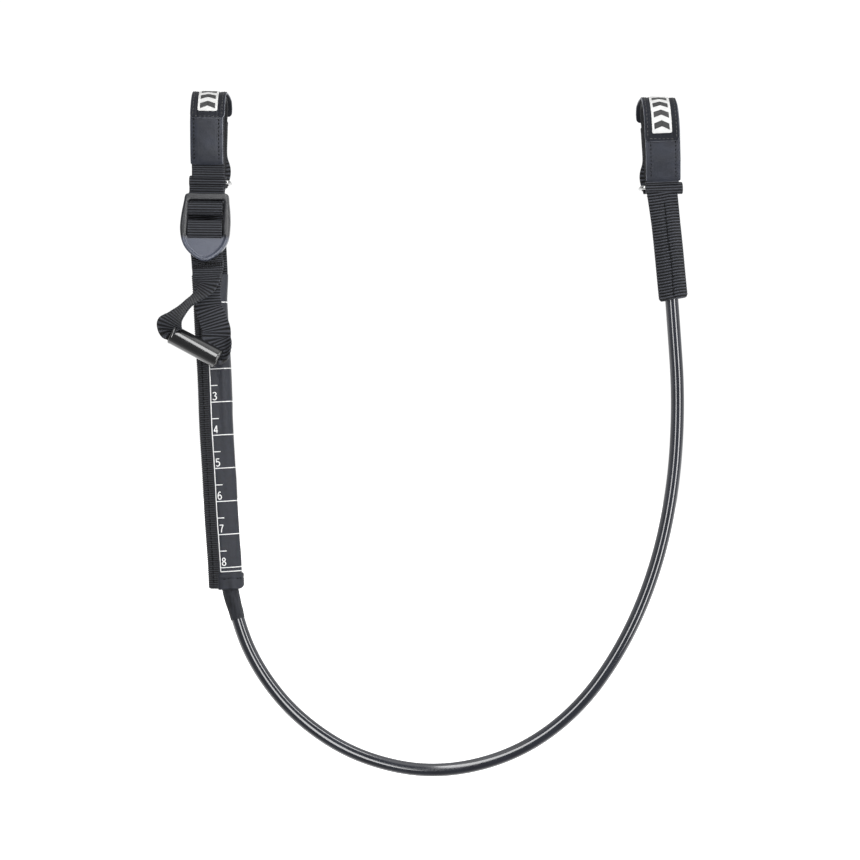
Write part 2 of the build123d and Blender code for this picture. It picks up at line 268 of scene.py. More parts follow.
def buckle_material():
    """Satin plastic, painted lighter and bluer on the nose plate: a painted highlight."""
    n = Nodes("buckle_plastic")
    spot = n.place()
    grain = n.noise(spot, 5.0, 3.0)
    cloud = n.noise(spot, 0.25, 3.0)
    # The nose mask paints the nose plate lighter and bluer: a painted highlight in place of the satin reflection it
    # catches.
    nose = n.add("MapRange", {"Value": n.split(spot)[2], "From Min": -67.5, "From Max": -70.5}).outputs[0]
    tone = n.math("ADD", n.math("MULTIPLY", cloud, 0.25), n.math("MULTIPLY", nose, 0.8))
    n.set(Base_Color=n.ramp(tone, [(0.05, grey(0.010, 0.2)), (0.25, grey(0.017, 0.25)), (1.0, grey(0.047, 0.62))]))
    n.set(Roughness=n.math("ADD", n.math("MULTIPLY", cloud, 0.12), 0.30))
    n.bump(grain, 0.02, 0.1)
    return n.material


def label_material():
    n = Nodes("label")
    spot = n.place()
    weave = n.noise(spot, 4.0, 3.0)
    dirt = n.noise(spot, 0.25, 4.0)
    n.set(Base_Color=n.ramp(dirt, [(0.25, (0.36, 0.36, 0.355)), (0.6, (0.44, 0.44, 0.435))]), Roughness=0.5)
    n.bump(weave, 0.15, 0.06)
    return n.material


def ink_material():
    n = Nodes("printed_ink")
    spot = n.place()
    wear = n.noise(spot, 1.6, 5.0, 0.7)
    n.set(Base_Color=n.ramp(wear, [(0.28, (0.36, 0.36, 0.36)), (0.42, (0.62, 0.62, 0.62))]), Roughness=0.55)
    n.bump(wear, 0.15, 0.04)
    return n.material


def panel_material():
    n = Nodes("printed_panel")
    cloth = n.cloth()
    across, along, _ = n.split(cloth)
    warp = n.math("SINE", n.math("MULTIPLY", across, 2 * math.pi / 0.42))
    weft = n.math("SINE", n.math("MULTIPLY", along, 2 * math.pi / 0.42))
    fold = n.noise(n.add("VectorMath", {0: cloth, 1: (0.32, 0.05, 1)}, operation="MULTIPLY").outputs[0], 1.0, 4.0)
    tone = n.noise(cloth, 0.35, 5.0, 0.65)
    n.set(Base_Color=n.ramp(tone, [(0.3, grey(0.005, 0.8)), (0.7, grey(0.011, 0.9))]))
    n.set(Roughness=n.math("ADD", n.math("MULTIPLY", tone, 0.25), 0.42), Specular_IOR_Level=0.32)
    height = n.math("ADD", n.math("MULTIPLY", warp, 0.08), n.math("MULTIPLY", weft, 0.08))
    n.bump(n.math("ADD", height, n.math("MULTIPLY", fold, 2.6)), 0.5, 0.35)
    return n.material


def cover_material():
    n = Nodes("tube_cover")
    spot = n.place()
    fold = n.noise(n.add("VectorMath", {0: spot, 1: (1.6, 1.6, 0.25)}, operation="MULTIPLY").outputs[0], 0.6, 4.0)
    weave = n.noise(spot, 4.5, 3.0)
    # The fold noise also sets the colour, darker in the folds' hollows and lighter on their crests: painted shade and
    # highlight on the folds.
    n.set(Base_Color=n.ramp(fold, [(0.3, grey(0.004, 0.4)), (0.75, grey(0.018, 0.5))]), Roughness=0.7)
    n.set(Sheen_Weight=0.04, Specular_IOR_Level=0.25)
    n.bump(n.math("ADD", n.math("MULTIPLY", fold, 2.2), n.math("MULTIPLY", weave, 0.3)), 0.6, 0.4)
    return n.material


def tube_material():
    n = Nodes("tube")
    spot = n.place()
    scuff = n.noise(spot, 0.5, 5.0, 0.7)
    fine = n.noise(spot, 0.08, 2.0)
    n.set(Base_Color=n.ramp(fine, [(0.3, grey(0.009, 0.6)), (0.8, grey(0.015, 0.6))]), IOR=1.7)
    n.set(Roughness=n.math("ADD", n.math("MULTIPLY", scuff, 0.08), 0.08))
    n.bump(scuff, 0.012, 0.1)
    return n.material


def rope_material():
    n = Nodes("rope")
    spot = n.place()
    braid = n.add("TexWave", {"Vector": spot, "Scale": 0.5, "Distortion": 2.0}, bands_direction="DIAGONAL").outputs["Fac"]
    n.set(Base_Color=n.ramp(braid, [(0.2, (0.32, 0.32, 0.30)), (0.8, (0.58, 0.58, 0.55))]), Roughness=0.85)
    n.bump(braid, 0.6, 0.3)
    return n.material


def thread_material(name, tone):
    n = Nodes(name)
    spot = n.place()
    twist = n.add("TexWave", {"Vector": spot, "Scale": 2.2}, bands_direction="DIAGONAL").outputs["Fac"]
    n.set(Base_Color=n.ramp(twist, [(0.2, grey(tone * 0.6)), (0.8, grey(tone))]), Roughness=0.7, Specular_IOR_Level=0.15)
    n.bump(twist, 0.5, 0.08)
    return n.material


WEBBING = webbing_material()
LEATHERETTE = leatherette_material()
# A darker, less shiny copy of the leatherette for the top patch: painted shade on the patch's top, which catches more
# light from above.
SHADED_PATCH = leatherette_material("patch_leatherette_shaded", 0.5)
LINING = lining_material()
HOOK = hook_material()
STEEL = steel_material()
BUCKLE = buckle_material()
HANDLE = plastic_material("handle_plastic", 0.007, 0.12, 1.0, 0.004, 0.1, 1.7)
LABEL = label_material()
LABEL_DARK = plastic_material("label_dark", 0.012, 0.6, 4.0, 0.15, 0.05)
INK = ink_material()
PANEL = panel_material()
COVER = cover_material()
TUBE = tube_material()
ROPE = rope_material()
DARK_THREAD = thread_material("dark_thread", 0.003)
GREY_THREAD = thread_material("grey_thread", 0.08)


# ---------------------------------------------------------------- mesh building, in millimetres

def piece(name, points, faces, material, cloth=None, ridge=None):
    """A smooth mesh object from points in millimetres."""
    mesh = bpy.data.meshes.new(name)
    mesh.from_pydata((np.asarray(points) * MM).tolist(), [], faces)
    mesh.shade_smooth()
    mesh.materials.append(material)
    if cloth is not None:
        layer = mesh.attributes.new("cloth", "FLOAT_VECTOR", "POINT")
        layer.data.foreach_set("vector", np.asarray(cloth, np.float32).ravel())
    if ridge is not None:
        layer = mesh.attributes.new("ridge", "FLOAT", "POINT")
        layer.data.foreach_set("value", np.asarray(ridge, np.float32).ravel())
    mesh.validate()
    obj = bpy.data.objects.new(name, mesh)
    bpy.context.scene.collection.objects.link(obj)
    return obj


def unit(vectors):
    vectors = np.asarray(vectors, float)
    return vectors / np.linalg.norm(vectors, axis=-1, keepdims=True)


def lengths_along(points):
    steps = np.linalg.norm(np.diff(points, axis=0), axis=1)
    return np.concatenate([[0], np.cumsum(steps)])


def resample(points, step, *others):
    """Points evenly spaced along a line, with other values carried along."""
    points = np.asarray(points, float)
    along = lengths_along(points)
    count = max(2, round(along[-1] / step) + 1)
    even = np.linspace(0, along[-1], count)
    result = []
    for values in (points, *others):
        values = np.asarray(values, float)
        if values.ndim == 1:
            result.append(np.interp(even, along, values))
        else:
            result.append(np.stack([np.interp(even, along, column) for column in values.T], axis=1))
    return result if others else result[0]


def smooth_line(stations, count=24):
    """Catmull-Rom curve through rows of numbers, with its ends held."""
    rows = np.asarray(stations, float)
    rows = np.vstack([2 * rows[0] - rows[1], rows, 2 * rows[-1] - rows[-2]])
    result = []
    for i in range(1, len(rows) - 2):
        a, b, c, d = rows[i - 1:i + 3]
        last = i == len(rows) - 3
        for t in np.linspace(0, 1, count, endpoint=last) if last else np.linspace(0, 1, count, endpoint=False):
            result.append(0.5 * (2 * b + (c - a) * t + (2 * a - 5 * b + 4 * c - d) * t ** 2
                                 + (3 * b - a - 3 * c + d) * t ** 3))
    return np.array(result)


def section_half(width, thick, edge, count):
    """Upper half of a rounded strip's section, left to right: across and height, as shares to scale."""
    angles = np.radians([172, 150, 128, 108])
    left = [(-width / 2 + edge + edge * math.cos(a), math.sin(a)) for a in angles]
    flat = [(x, 1.0) for x in np.linspace(-width / 2 + edge, width / 2 - edge, count)]
    right = [(-x, h) for x, h in reversed(left)]
    return np.array(left + flat + right)


def strip_faces(rows, columns):
    """Quads of a closed strip: rows of points round its section, and its two end faces."""
    i, j = np.meshgrid(np.arange(rows - 1), np.arange(columns), indexing="ij")
    k = (j + 1) % columns
    quads = np.stack([i * columns + j, i * columns + k, (i + 1) * columns + k, (i + 1) * columns + j], axis=-1)
    faces = quads.reshape(-1, 4).tolist()
    half = columns // 2
    base = (rows - 1) * columns
    for c in range(half - 1):
        start = [c, c + 1, columns - 2 - c, columns - 1 - c]
        faces.append(start[::-1])
        faces.append([base + v for v in start])
    return faces


def ribbon(name, centres, normals, width, thick, material, rib=None, edge=None, curl=0.0, step=0.3,
           columns=14, taper=0.0, corner=0.0, swell=0.0, grooves=(), crease=None):
    """A strip of webbing or leather along a line. width, thick and curl may be one value or one for each point.

    rib is (pitch, height, share): ridges across the strip. taper thins both ends over that length and
    corner rounds their corners. swell crowns its upper face. grooves are sewn channels, as (place across,
    depth, half width). crease gives small waves over the strip, as (height, length).
    """
    centres = np.asarray(centres, float)
    n = len(centres)
    width, thick, curl = (np.broadcast_to(np.asarray(v, float), n) for v in (width, thick, curl))
    centres, normals, width, thick, curl = resample(centres, step, normals, width, thick, curl)
    along = lengths_along(centres)
    tangent = unit(np.gradient(centres, axis=0))
    across = unit(np.cross(tangent, normals))
    normal = np.cross(across, tangent)
    rows, cloth, ridges = [], [], []
    total = along[-1]
    for i, s in enumerate(along):
        w, t = width[i], thick[i]
        inset = min(s, total - s)
        if inset < taper:
            t = t * (0.2 + 0.8 * math.sqrt(max(0.0, 1 - (1 - inset / taper) ** 2)))
        if inset < corner:
            w = w - 2 * (corner - math.sqrt(max(0.0, corner ** 2 - (corner - inset) ** 2)))
        radius = min(edge if edge is not None else t / 2, w / 3)
        upper = section_half(w, t, radius, columns)
        x, h = upper[:, 0], upper[:, 1] * t / 2
        ridge = np.zeros(len(x))
        if rib:
            pitch, height, share = rib
            wave = (0.5 + 0.5 * math.cos(2 * math.pi * s / pitch)) ** share
            h = h + height * (wave - 1) * np.clip((w / 2 - np.abs(x)) / 0.9, 0.25, 1)
            # The rib wave is also kept as the ridge weight for the webbing's painted highlight on rib tops and painted
            # shade in the grooves.
            ridge = wave * np.ones(len(x))
        top = h + swell * np.clip(1 - (2 * x / w) ** 2, 0, 1) ** 0.7 if swell else h.copy()
        for place, depth, half in grooves:
            top = top - depth * np.exp(-((np.abs(x) - place) / half) ** 2)
        bottom = -h[::-1]
        if crease:
            height, size = crease
            ripple = height * (np.sin(2 * math.pi * (s / size + 0.3 * x / size)) * np.cos(2 * math.pi * x / (1.7 * size)))
            top, bottom = top + ripple, bottom + ripple[::-1]
        xs = np.concatenate([x, x[::-1]])
        hs = np.concatenate([top, bottom])
        a, b = xs, hs
        if abs(curl[i]) > 1e-3:
            bend = w / curl[i]
            angle = xs / bend
            a = (bend + hs) * np.sin(angle)
            b = (bend + hs) * np.cos(angle) - bend * math.sin(curl[i] / 2) / (curl[i] / 2)
        rows.append(centres[i] + np.outer(a, across[i]) + np.outer(b, normal[i]))
        # Weight near the edges and ends, which the leatherette uses for its painted edge highlight.
        edge_highlight_weight = np.exp(-np.minimum(w / 2 - np.abs(xs), inset) / 0.3)
        cloth.append(np.stack([xs, np.full(len(xs), s), edge_highlight_weight], axis=1))
        ridges.append(np.concatenate([ridge, ridge[::-1]]))
    rows = np.array(rows)
    faces = strip_faces(rows.shape[0], rows.shape[1])
    return piece(name, rows.reshape(-1, 3), faces, material, np.array(cloth).reshape(-1, 3), np.array(ridges).ravel())


def stitches(name, runs, material, pitch=2.4, length=1.7, radius=0.22, sink=0.3):
    """Rows of stitches: each is a short thread that rises out of the cloth and dives again.

    runs is a list of (line, normals).
    """
    points, faces = [], []
    around = np.radians(np.arange(0, 360, 60))
    for line, normals in runs:
        line, normals = resample(line, 0.1, normals)
        along = lengths_along(line)
        ahead = unit(np.gradient(line, axis=0))
        start = pitch * 0.3
        while start + length < along[-1]:
            base = len(points)
            for share in np.linspace(0, 1, 6):
                k = int(np.searchsorted(along, start + share * length))
                rise = math.sin(math.pi * share)
                up = unit(normals[k])
                side = np.cross(up, ahead[k])
                size = radius * (0.72 + 0.28 * rise)
                centre = line[k] + up * (radius * 0.55 * rise - sink * (1 - rise))
                for a in around:
                    points.append(centre + up * size * math.sin(a) + side * size * math.cos(a))
            for r in range(5):
                for k in range(6):
                    m = (k + 1) % 6
                    faces.append([base + r * 6 + k, base + r * 6 + m, base + r * 6 + 6 + m, base + r * 6 + 6 + k])
            faces.append([base + k for k in reversed(range(6))])
            faces.append([base + 30 + k for k in range(6)])
            start += pitch
    return piece(name, points, faces, material)


def loft(name, rings, material, closed_ends=True, cloth=None):
    """A closed tube through rings of points."""
    rings = np.asarray(rings, float)
    n, m = rings.shape[:2]
    i, j = np.meshgrid(np.arange(n - 1), np.arange(m), indexing="ij")
    k = (j + 1) % m
    faces = np.stack([i * m + j, i * m + k, (i + 1) * m + k, (i + 1) * m + j], axis=-1).reshape(-1, 4).tolist()
    if closed_ends:
        faces.append(list(range(m))[::-1])
        faces.append([(n - 1) * m + v for v in range(m)])
    return piece(name, rings.reshape(-1, 3), faces, material, cloth)


def tube_along(name, points, radius, material, closed=False, sides=20):
    """A round wire along points."""
    points = np.asarray(points, float)
    ahead = np.roll(points, -1, axis=0) - np.roll(points, 1, axis=0) if closed else np.gradient(points, axis=0)
    ahead = unit(ahead)
    side = unit(np.cross(ahead, (0.13, 0.02, 1.0)))
    up = np.cross(side, ahead)
    turn = np.linspace(0, 2 * math.pi, sides, endpoint=False)
    rings = points[:, None] + radius * (np.cos(turn)[None, :, None] * side[:, None] + np.sin(turn)[None, :, None] * up[:, None])
    if closed:
        rings = np.concatenate([rings, rings[:1]])
        n, m = rings.shape[0] - 1, sides
        i, j = np.meshgrid(np.arange(n), np.arange(m), indexing="ij")
        ni, nj = (i + 1) % n, (j + 1) % m
        faces = np.stack([i * m + j, i * m + nj, ni * m + nj, ni * m + j], axis=-1).reshape(-1, 4).tolist()
        return piece(name, rings[:-1].reshape(-1, 3), faces, material)
    return loft(name, rings, material)


def slab(name, middle, normals, up, down, material, cloth, ridge=None, ring=False):
    """A sheet of some thickness over a grid of points; ring joins its first and last columns."""
    top = middle + normals * up[..., None]
    low = middle - normals * down[..., None]
    n, m = middle.shape[:2]
    count = n * m
    columns = m if ring else m - 1
    i, j = np.meshgrid(np.arange(n - 1), np.arange(columns), indexing="ij")
    k = (j + 1) % m
    quads = np.stack([i * m + j, (i + 1) * m + j, (i + 1) * m + k, i * m + k], axis=-1).reshape(-1, 4)
    faces = quads.tolist() + (quads[:, ::-1] + count).tolist()
    for row in (0, n - 1):
        for c in range(columns):
            a, b = row * m + c, row * m + (c + 1) % m
            quad = [a, b, b + count, a + count]
            faces.append(quad if row == 0 else quad[::-1])
    if not ring:
        for column in (0, m - 1):
            for r in range(n - 1):
                a, b = r * m + column, (r + 1) * m + column
                quad = [a, b, b + count, a + count]
                faces.append(quad[::-1] if column == 0 else quad)
    points = np.concatenate([top.reshape(-1, 3), low.reshape(-1, 3)])
    cloth = np.concatenate([cloth.reshape(-1, 3)] * 2)
    # ridge carries the rib wave for the webbing's painted highlight on rib tops and painted shade between them.
    ridges = None if ridge is None else np.concatenate([ridge.ravel()] * 2)
    return piece(name, points, faces, material, cloth, ridges)


def surface_nets(name, inside, low, high, step, material):
    """A smooth mesh of the zero surface of a distance function over a box."""
    axes = [np.arange(a, b + step, step) for a, b in zip(low, high)]
    grid = np.meshgrid(*axes, indexing="ij")
    value = inside(*grid)
    shape = np.array(value.shape) - 1
    corner = np.indices((2, 2, 2)).reshape(3, -1).T
    total = np.zeros((*shape, 3))
    crossings = np.zeros(shape)
    cells = [value[c[0]:c[0] + shape[0], c[1]:c[1] + shape[1], c[2]:c[2] + shape[2]] for c in corner]
    for a in range(8):
        for b in range(a + 1, 8):
            if np.abs(corner[a] - corner[b]).sum() != 1:
                continue
            cross = (cells[a] < 0) != (cells[b] < 0)
            share = np.where(cross, cells[a] / np.where(cross, cells[a] - cells[b], 1), 0)
            spot = corner[a] + share[..., None] * (corner[b] - corner[a])
            total += spot * cross[..., None]
            crossings += cross
    used = crossings > 0
    number = -np.ones(shape, int)
    number[used] = np.arange(used.sum())
    where = np.argwhere(used)
    points = np.array(low) + step * (where + total[used] / crossings[used][:, None])
    faces = []
    for axis in range(3):
        u, v = [k for k in range(3) if k != axis]
        near = [slice(1, -1)] * 3
        near[axis] = slice(0, -1)
        far = list(near)
        far[axis] = slice(1, None)
        first, second = value[tuple(near)] < 0, value[tuple(far)] < 0
        spots = np.argwhere(first != second)
        sign = first[first != second]
        spots = spots + np.array([0 if k == axis else 1 for k in range(3)])
        corners = []
        for du, dv in ((0, 0), (1, 0), (1, 1), (0, 1)):
            cell = spots.copy()
            cell[:, u] -= du
            cell[:, v] -= dv
            corners.append(number[tuple(cell.T)])
        quads = np.stack(corners, axis=1)
        flip = sign == (axis == 1)
        quads[flip] = quads[flip][:, ::-1]
        faces.append(quads)
    return piece(name, points, np.concatenate(faces).tolist(), material)


# ---------------------------------------------------------------- flexible tube and its rope

TUBE_ROUTE = [
    (0.2773, -0.0045, -0.0800), (0.2806, -0.0045, -0.1170), (0.2842, -0.0047, -0.1630),
    (0.2819, -0.0050, -0.2150), (0.2717, -0.0054, -0.2650), (0.2528, -0.0058, -0.3110),
    (0.2252, -0.0062, -0.3505), (0.1875, -0.0066, -0.3775), (0.1405, -0.0072, -0.3886),
    (0.0948, -0.0078, -0.3796), (0.0592, -0.0083, -0.3574), (0.0352, -0.0086, -0.3295),
    (0.0208, -0.0087, -0.2990), (0.0142, -0.0087, -0.2685),
]


def route_curve(name, radius, material):
    """One open curve along the tube's route."""
    data = bpy.data.curves.new(name, "CURVE")
    data.dimensions = "3D"
    data.bevel_depth = radius
    data.bevel_resolution = 10
    data.resolution_u = 24
    data.use_fill_caps = True
    spline = data.splines.new("NURBS")
    spline.points.add(len(TUBE_ROUTE) - 1)
    for point, place in zip(spline.points, TUBE_ROUTE):
        point.co = (*place, 1)
    spline.order_u = 3
    spline.use_endpoint_u = True
    data.materials.append(material)
    obj = bpy.data.objects.new(name, data)
    bpy.context.scene.collection.objects.link(obj)
    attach(obj, "line")
    return obj


tube = route_curve("harness_tube", 0.004, TUBE)
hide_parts("flexible_tube")
core = route_curve("harness_rope", 0.0025, ROPE)
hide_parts("rope_core")


# ---------------------------------------------------------------- boom straps

LOOP_DISCS = ((0.0, 14.5), (-14.0, 11.5), (-30.0, 4.6))    # height and radius at the grip surface
LIMB_BOTTOM = -28.5
WEB = 1.5
RIB = (1.77, 0.55, 0.8)
TIGHT_RIB = (1.46, 0.45, 0.8)
LEAN = {"left": 0.0, "right": 0.06}
LEAN_PIVOT = -30.0
INWARD = {"left": 1, "right": -1}
BACK_SHIFT = -1.0                  # the back of each loop hangs a little to the outside


def loop_base():
    """Front half of the strap's section at the grip surface, from the top down: places and normals in Y and Z."""
    angles = []
    start = 0.0
    for i, (z, r) in enumerate(LOOP_DISCS):
        end = math.pi
        if i + 1 < len(LOOP_DISCS):
            z2, r2 = LOOP_DISCS[i + 1]
            end = math.pi / 2 + math.asin((r - r2) / (z - z2))
        for angle in np.linspace(start, end, 24):
            angles.append((z, r, angle))
        start = end
    z, r, angle = np.array(angles).T
    normals = np.stack([-np.sin(angle), np.cos(angle)], axis=1)
    places = np.stack([r * normals[:, 0], z + r * normals[:, 1]], axis=1)
    return resample(places, 0.4, normals)


BASE, BASE_NORMAL = loop_base()


def loop_line(side, offset, front_z, back_z, x=0.0, flare=0.0):
    """Points and normals of a line round the strap, from its lower front end over the top to its back end.

    flare moves the back end this far towards the other strap.
    """
    mirror = np.array([-1, 1])
    places = np.concatenate([BASE[::-1], (BASE * mirror)[1:]])
    normals = np.concatenate([BASE_NORMAL[::-1], (BASE_NORMAL * mirror)[1:]])
    normals = unit(normals)
    places = places + offset * normals
    front = np.arange(len(places)) < len(BASE)
    keep = np.where(front, places[:, 1] >= front_z, places[:, 1] >= back_z)
    places, normals = places[keep], normals[keep]
    x = x + INWARD[side] * flare * np.clip((places[:, 0] - 3) / 9, 0, 1)
    return on_strap(side, places, x), np.column_stack([np.zeros(len(normals)), normals])


def on_strap(side, places, x=0.0):
    """Places in Y and Z set at this distance across the strap, with the strap's lean."""
    across = STRAP_X[side] + x - LEAN[side] * (places[:, 1] - LEAN_PIVOT)
    behind = np.clip((places[:, 0] - 3) / 7, 0, 1) * np.clip((12 - places[:, 1]) / 10, 0, 1)
    across = across + INWARD[side] * BACK_SHIFT * behind * np.clip((places[:, 1] + 34) / 12, 0, 1)
    return np.column_stack([across, places])


def arc(centre, radius, start, end, count=24):
    """Places on a circle in Y and Z; the angle runs from the front over the top."""
    turn = np.radians(np.linspace(start, end, count))
    return np.column_stack([centre[0] - radius * np.cos(turn), centre[1] + radius * np.sin(turn)])


def normals_of(places, flip=1):
    """Normals of a line in Y and Z, to its left as it runs."""
    ahead = unit(np.gradient(places, axis=0))
    return np.column_stack([np.zeros(len(places)), -ahead[:, 1] * flip, ahead[:, 0] * flip])


def label_marks(side, label_edge):
    """Plain dark chevrons on the label."""
    line, normals = loop_line(side, 5.67, label_edge, 9.6)
    along = lengths_along(line)
    points, faces = [], []
    for start in np.arange(1.6, along[-1] - 7, 7.2):
        for x0, x1 in ((-4.5, 0.0), (0.0, 4.5)):
            base = len(points)
            columns = np.linspace(x0, x1, 9)
            for lift in (0.09, -0.1):
                for thick in np.linspace(0, 3.6, 7):
                    for x in columns:
                        s = start + thick + 2.0 * (1 - abs(x) / 4.5)
                        centre = np.array([np.interp(s, along, line[:, k]) for k in range(3)])
                        normal = unit([np.interp(s, along, normals[:, k]) for k in range(3)])
                        points.append(centre + (x, 0, 0) + normal * lift)
            n, m = 7, 9
            for r in range(n - 1):
                for c in range(m - 1):
                    a = base + r * m + c
                    faces.append([a, a + 1, a + m + 1, a + m])
                    faces.append([a + n * m, a + n * m + m, a + n * m + m + 1, a + n * m + 1])
            rim = [r * m for r in range(n)][::-1] + list(range(1, m)) + [r * m + m - 1 for r in range(1, n)]
            rim += [(n - 1) * m + c for c in range(m - 2, 0, -1)]
            for a, b in zip(rim, rim[1:] + rim[:1]):
                faces.append([base + a, base + a + n * m, base + b + n * m, base + b])
    return piece(f"{side}_label_chevrons", points, faces, LABEL_DARK)


def boom_strap(side):
    body = f"{side}_strap"
    flap_body = f"{side}_flap"

    line, normals = loop_line(side, 0.7, LIMB_BOTTOM, LIMB_BOTTOM)
    lining = ribbon(f"{side}_grip_lining", line, normals, 19.8, 1.4, LINING, taper=0.7, corner=1.0)
    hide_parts(f"{side}_strap_lining")
    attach(lining, body)

    line, normals = loop_line(side, 2.15, LIMB_BOTTOM, LIMB_BOTTOM)
    end = line[0]
    tail = np.array([(end[1] + 0.1, -31.0), (end[1] + 0.5, -33.0)])[::-1]
    line = np.vstack([on_strap(side, tail), line])
    normals = np.vstack([normals[:1], normals[:1], normals])
    core = ribbon(f"{side}_loop_webbing", line, normals, 19.6, WEB, WEBBING, rib=TIGHT_RIB, corner=0.6)
    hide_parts(f"{side}_strap_webbing")
    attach(core, body)

    pad_bottom = {"left": -25.2, "right": -31.5}[side]
    pad_x, pad_width = {"left": (-0.6, 19.5), "right": (0.5, 20.7)}[side]
    line, normals = loop_line(side, 3.3, pad_bottom, 19.0, pad_x)
    curled = 0.7 * np.clip(1 - lengths_along(line) / 3.5, 0, 1) ** 2
    pad = ribbon(f"{side}_front_pad", line - normals * curled[:, None], normals, pad_width, 1.1, LEATHERETTE, taper=0.9, corner=0.9, swell=0.75,
                 grooves=((7.4, 0.5, 0.5),), crease=(0.07, 9.0))
    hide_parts(f"{side}_strap_pad")
    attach(pad, body)
    runs = []
    for x in (-7.4, 7.4):
        line, normals = loop_line(side, 4.12, pad_bottom + 2.0, 19.0, pad_x + x)
        runs.append((line, normals))
    sewing = stitches(f"{side}_pad_stitches", runs, DARK_THREAD, pitch=2.3, length=1.6, radius=0.3)
    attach(sewing, body)

    hook = ribbon(f"{side}_hook_side", *loop_back(side, 3.35, -26.5, 6.8), 18.6, 0.9, HOOK, corner=1.0)
    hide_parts(f"{side}_hook_tape")
    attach(hook, body)
    loops = ribbon(f"{side}_loop_side", *loop_back(side, 4.5, -24.5, 6.6), 18.6, 0.9, HOOK, corner=1.0)
    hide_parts(f"{side}_loop_tape")
    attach(loops, flap_body)

    limb = loop_back(side, 5.6, -30.2, 6.8)[0][:, 1:]
    wrap = arc(REAR_BAR[1:], 2.0, 10, -190, 30)
    flap_places = smooth_line(np.vstack([wrap, limb[::-1][::6]]), 6)
    skew = INWARD[side] * (0.3 + 2.4 * np.exp(-((flap_places[:, 1] + 27) / 6.5) ** 2))
    flap = ribbon(f"{side}_hook_flap", on_strap(side, flap_places, skew), normals_of(flap_places), 19.6, 1.4,
                  WEBBING, rib=RIB, corner=2.0, taper=0.5)
    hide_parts(f"{side}_strap_flap")
    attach(flap, flap_body)

    front_edge = {"left": 1.2, "right": -8.6}[side]
    line, normals = loop_line(side, 4.75, front_edge, 7.4, flare=1.8)
    patch = ribbon(f"{side}_leather_patch", line, normals, 20.6, 1.3, SHADED_PATCH, edge=0.55, taper=0.6, corner=2.6,
                   columns=30, grooves=((8.6, 0.25, 0.45), (6.5, 0.35, 0.45)), crease=(0.05, 7.0))
    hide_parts(f"{side}_top_patch")
    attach(patch, body)
    runs = [loop_line(side, 5.32, front_edge + 1.9, 9.6, x) for x in (-8.6, 8.6)]
    end_line, end_normals = loop_line(side, 5.42, front_edge + 1.4, 9.6)
    ends = np.repeat(end_line[:1], 12, axis=0)
    ends[:, 0] += np.linspace(-8.4, 8.4, 12)
    runs.append((ends, np.repeat(end_normals[:1], 12, axis=0)))
    sewing = stitches(f"{side}_patch_stitches", runs, GREY_THREAD, pitch=2.5, length=1.8, radius=0.2, sink=0.25)
    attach(sewing, body)

    label_edge = {"left": 5.6, "right": -3.8}[side]
    line, normals = loop_line(side, 5.52, label_edge, 9.6)
    label = ribbon(f"{side}_plain_label", line, normals, 11.8, 0.3, LABEL, edge=0.14, corner=0.9, columns=20)
    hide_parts(f"{side}_label")
    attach(label, body)
    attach(label_marks(side, label_edge), body)

    around = arc(FRONT_BAR[1:], 2.95, 150, -210, 60)
    shift = {"left": -0.4, "right": 1.0}[side]
    band = ribbon(f"{side}_bar_band", on_strap(side, around, shift), normals_of(around), 22.2,
                  1.45, WEBBING, rib=TIGHT_RIB, corner=0.5)
    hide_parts(f"{side}_ring_band")
    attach(band, body)

    half_x, half_y = 11.3, (REAR_BAR[1] - FRONT_BAR[1]) / 2
    middle = np.array([STRAP_X[side] + 0.7 * INWARD[side], (REAR_BAR[1] + FRONT_BAR[1]) / 2, FRONT_BAR[2]])
    outline = []
    r = 2.2
    for cx, cy, start in ((half_x - r, half_y - r, 0), (r - half_x, half_y - r, 90), (r - half_x, r - half_y, 180),
                          (half_x - r, r - half_y, 270)):
        for turn in np.radians(np.linspace(start, start + 90, 12)):
            outline.append(middle + (cx + r * math.cos(turn), cy + r * math.sin(turn), 0))
    wire = tube_along(f"{side}_wire_ring", outline, 1.2, STEEL, closed=True, sides=24)
    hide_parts(f"{side}_ring")
    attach(wire, body)


def loop_back(side, offset, low_z, high_z, x=0.0):
    """Points and normals of a line down the strap's back."""
    line, normals = loop_line(side, offset, 99, low_z, x)
    keep = (line[:, 1] > 0) & (line[:, 2] <= high_z)
    return line[keep], normals[keep]


for strap_side in SIDES:
    boom_strap(strap_side)


# ---------------------------------------------------------------- webbing round the buckle

def shifted(places, x):
    """Places in Y and Z set at x."""
    return np.column_stack([np.full(len(places), x), places])


def webbing_run(name, stations, x, width, node, material=WEBBING, count=16, flip=1, rib=TIGHT_RIB, **shape):
    """Webbing that runs through stations in Y and Z."""
    places = smooth_line(stations, count)
    line = shifted(places, x) if np.ndim(x) == 0 else np.column_stack([smooth_line(np.array(x)[:, None], count)[:, 0], places])
    made = ribbon(name, line, normals_of(places, flip), width, WEB, material, rib=rib, **shape)
    if node:
        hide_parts(node)
    return made


BAR = CROSS_BAR[1:]
GRIP_BAR = (CROSS_BAR[1], CROSS_BAR[2] - 11.4)

hanger_width = np.interp(np.arange(64), [0, 12, 32, 48, 63], [20.0, 22.6, 22.4, 20.2, 20.0])
hanger = webbing_run("hanger_strap", [(-3.9, -36.4), (-3.9, -50), (-3.9, -70), (-3.95, -91.5), (-4.4, -99)],
                     [0.1, -1.7, -0.2, 2.1, 1.6], hanger_width, "hanger_webbing", flip=-1)
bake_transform(hanger)

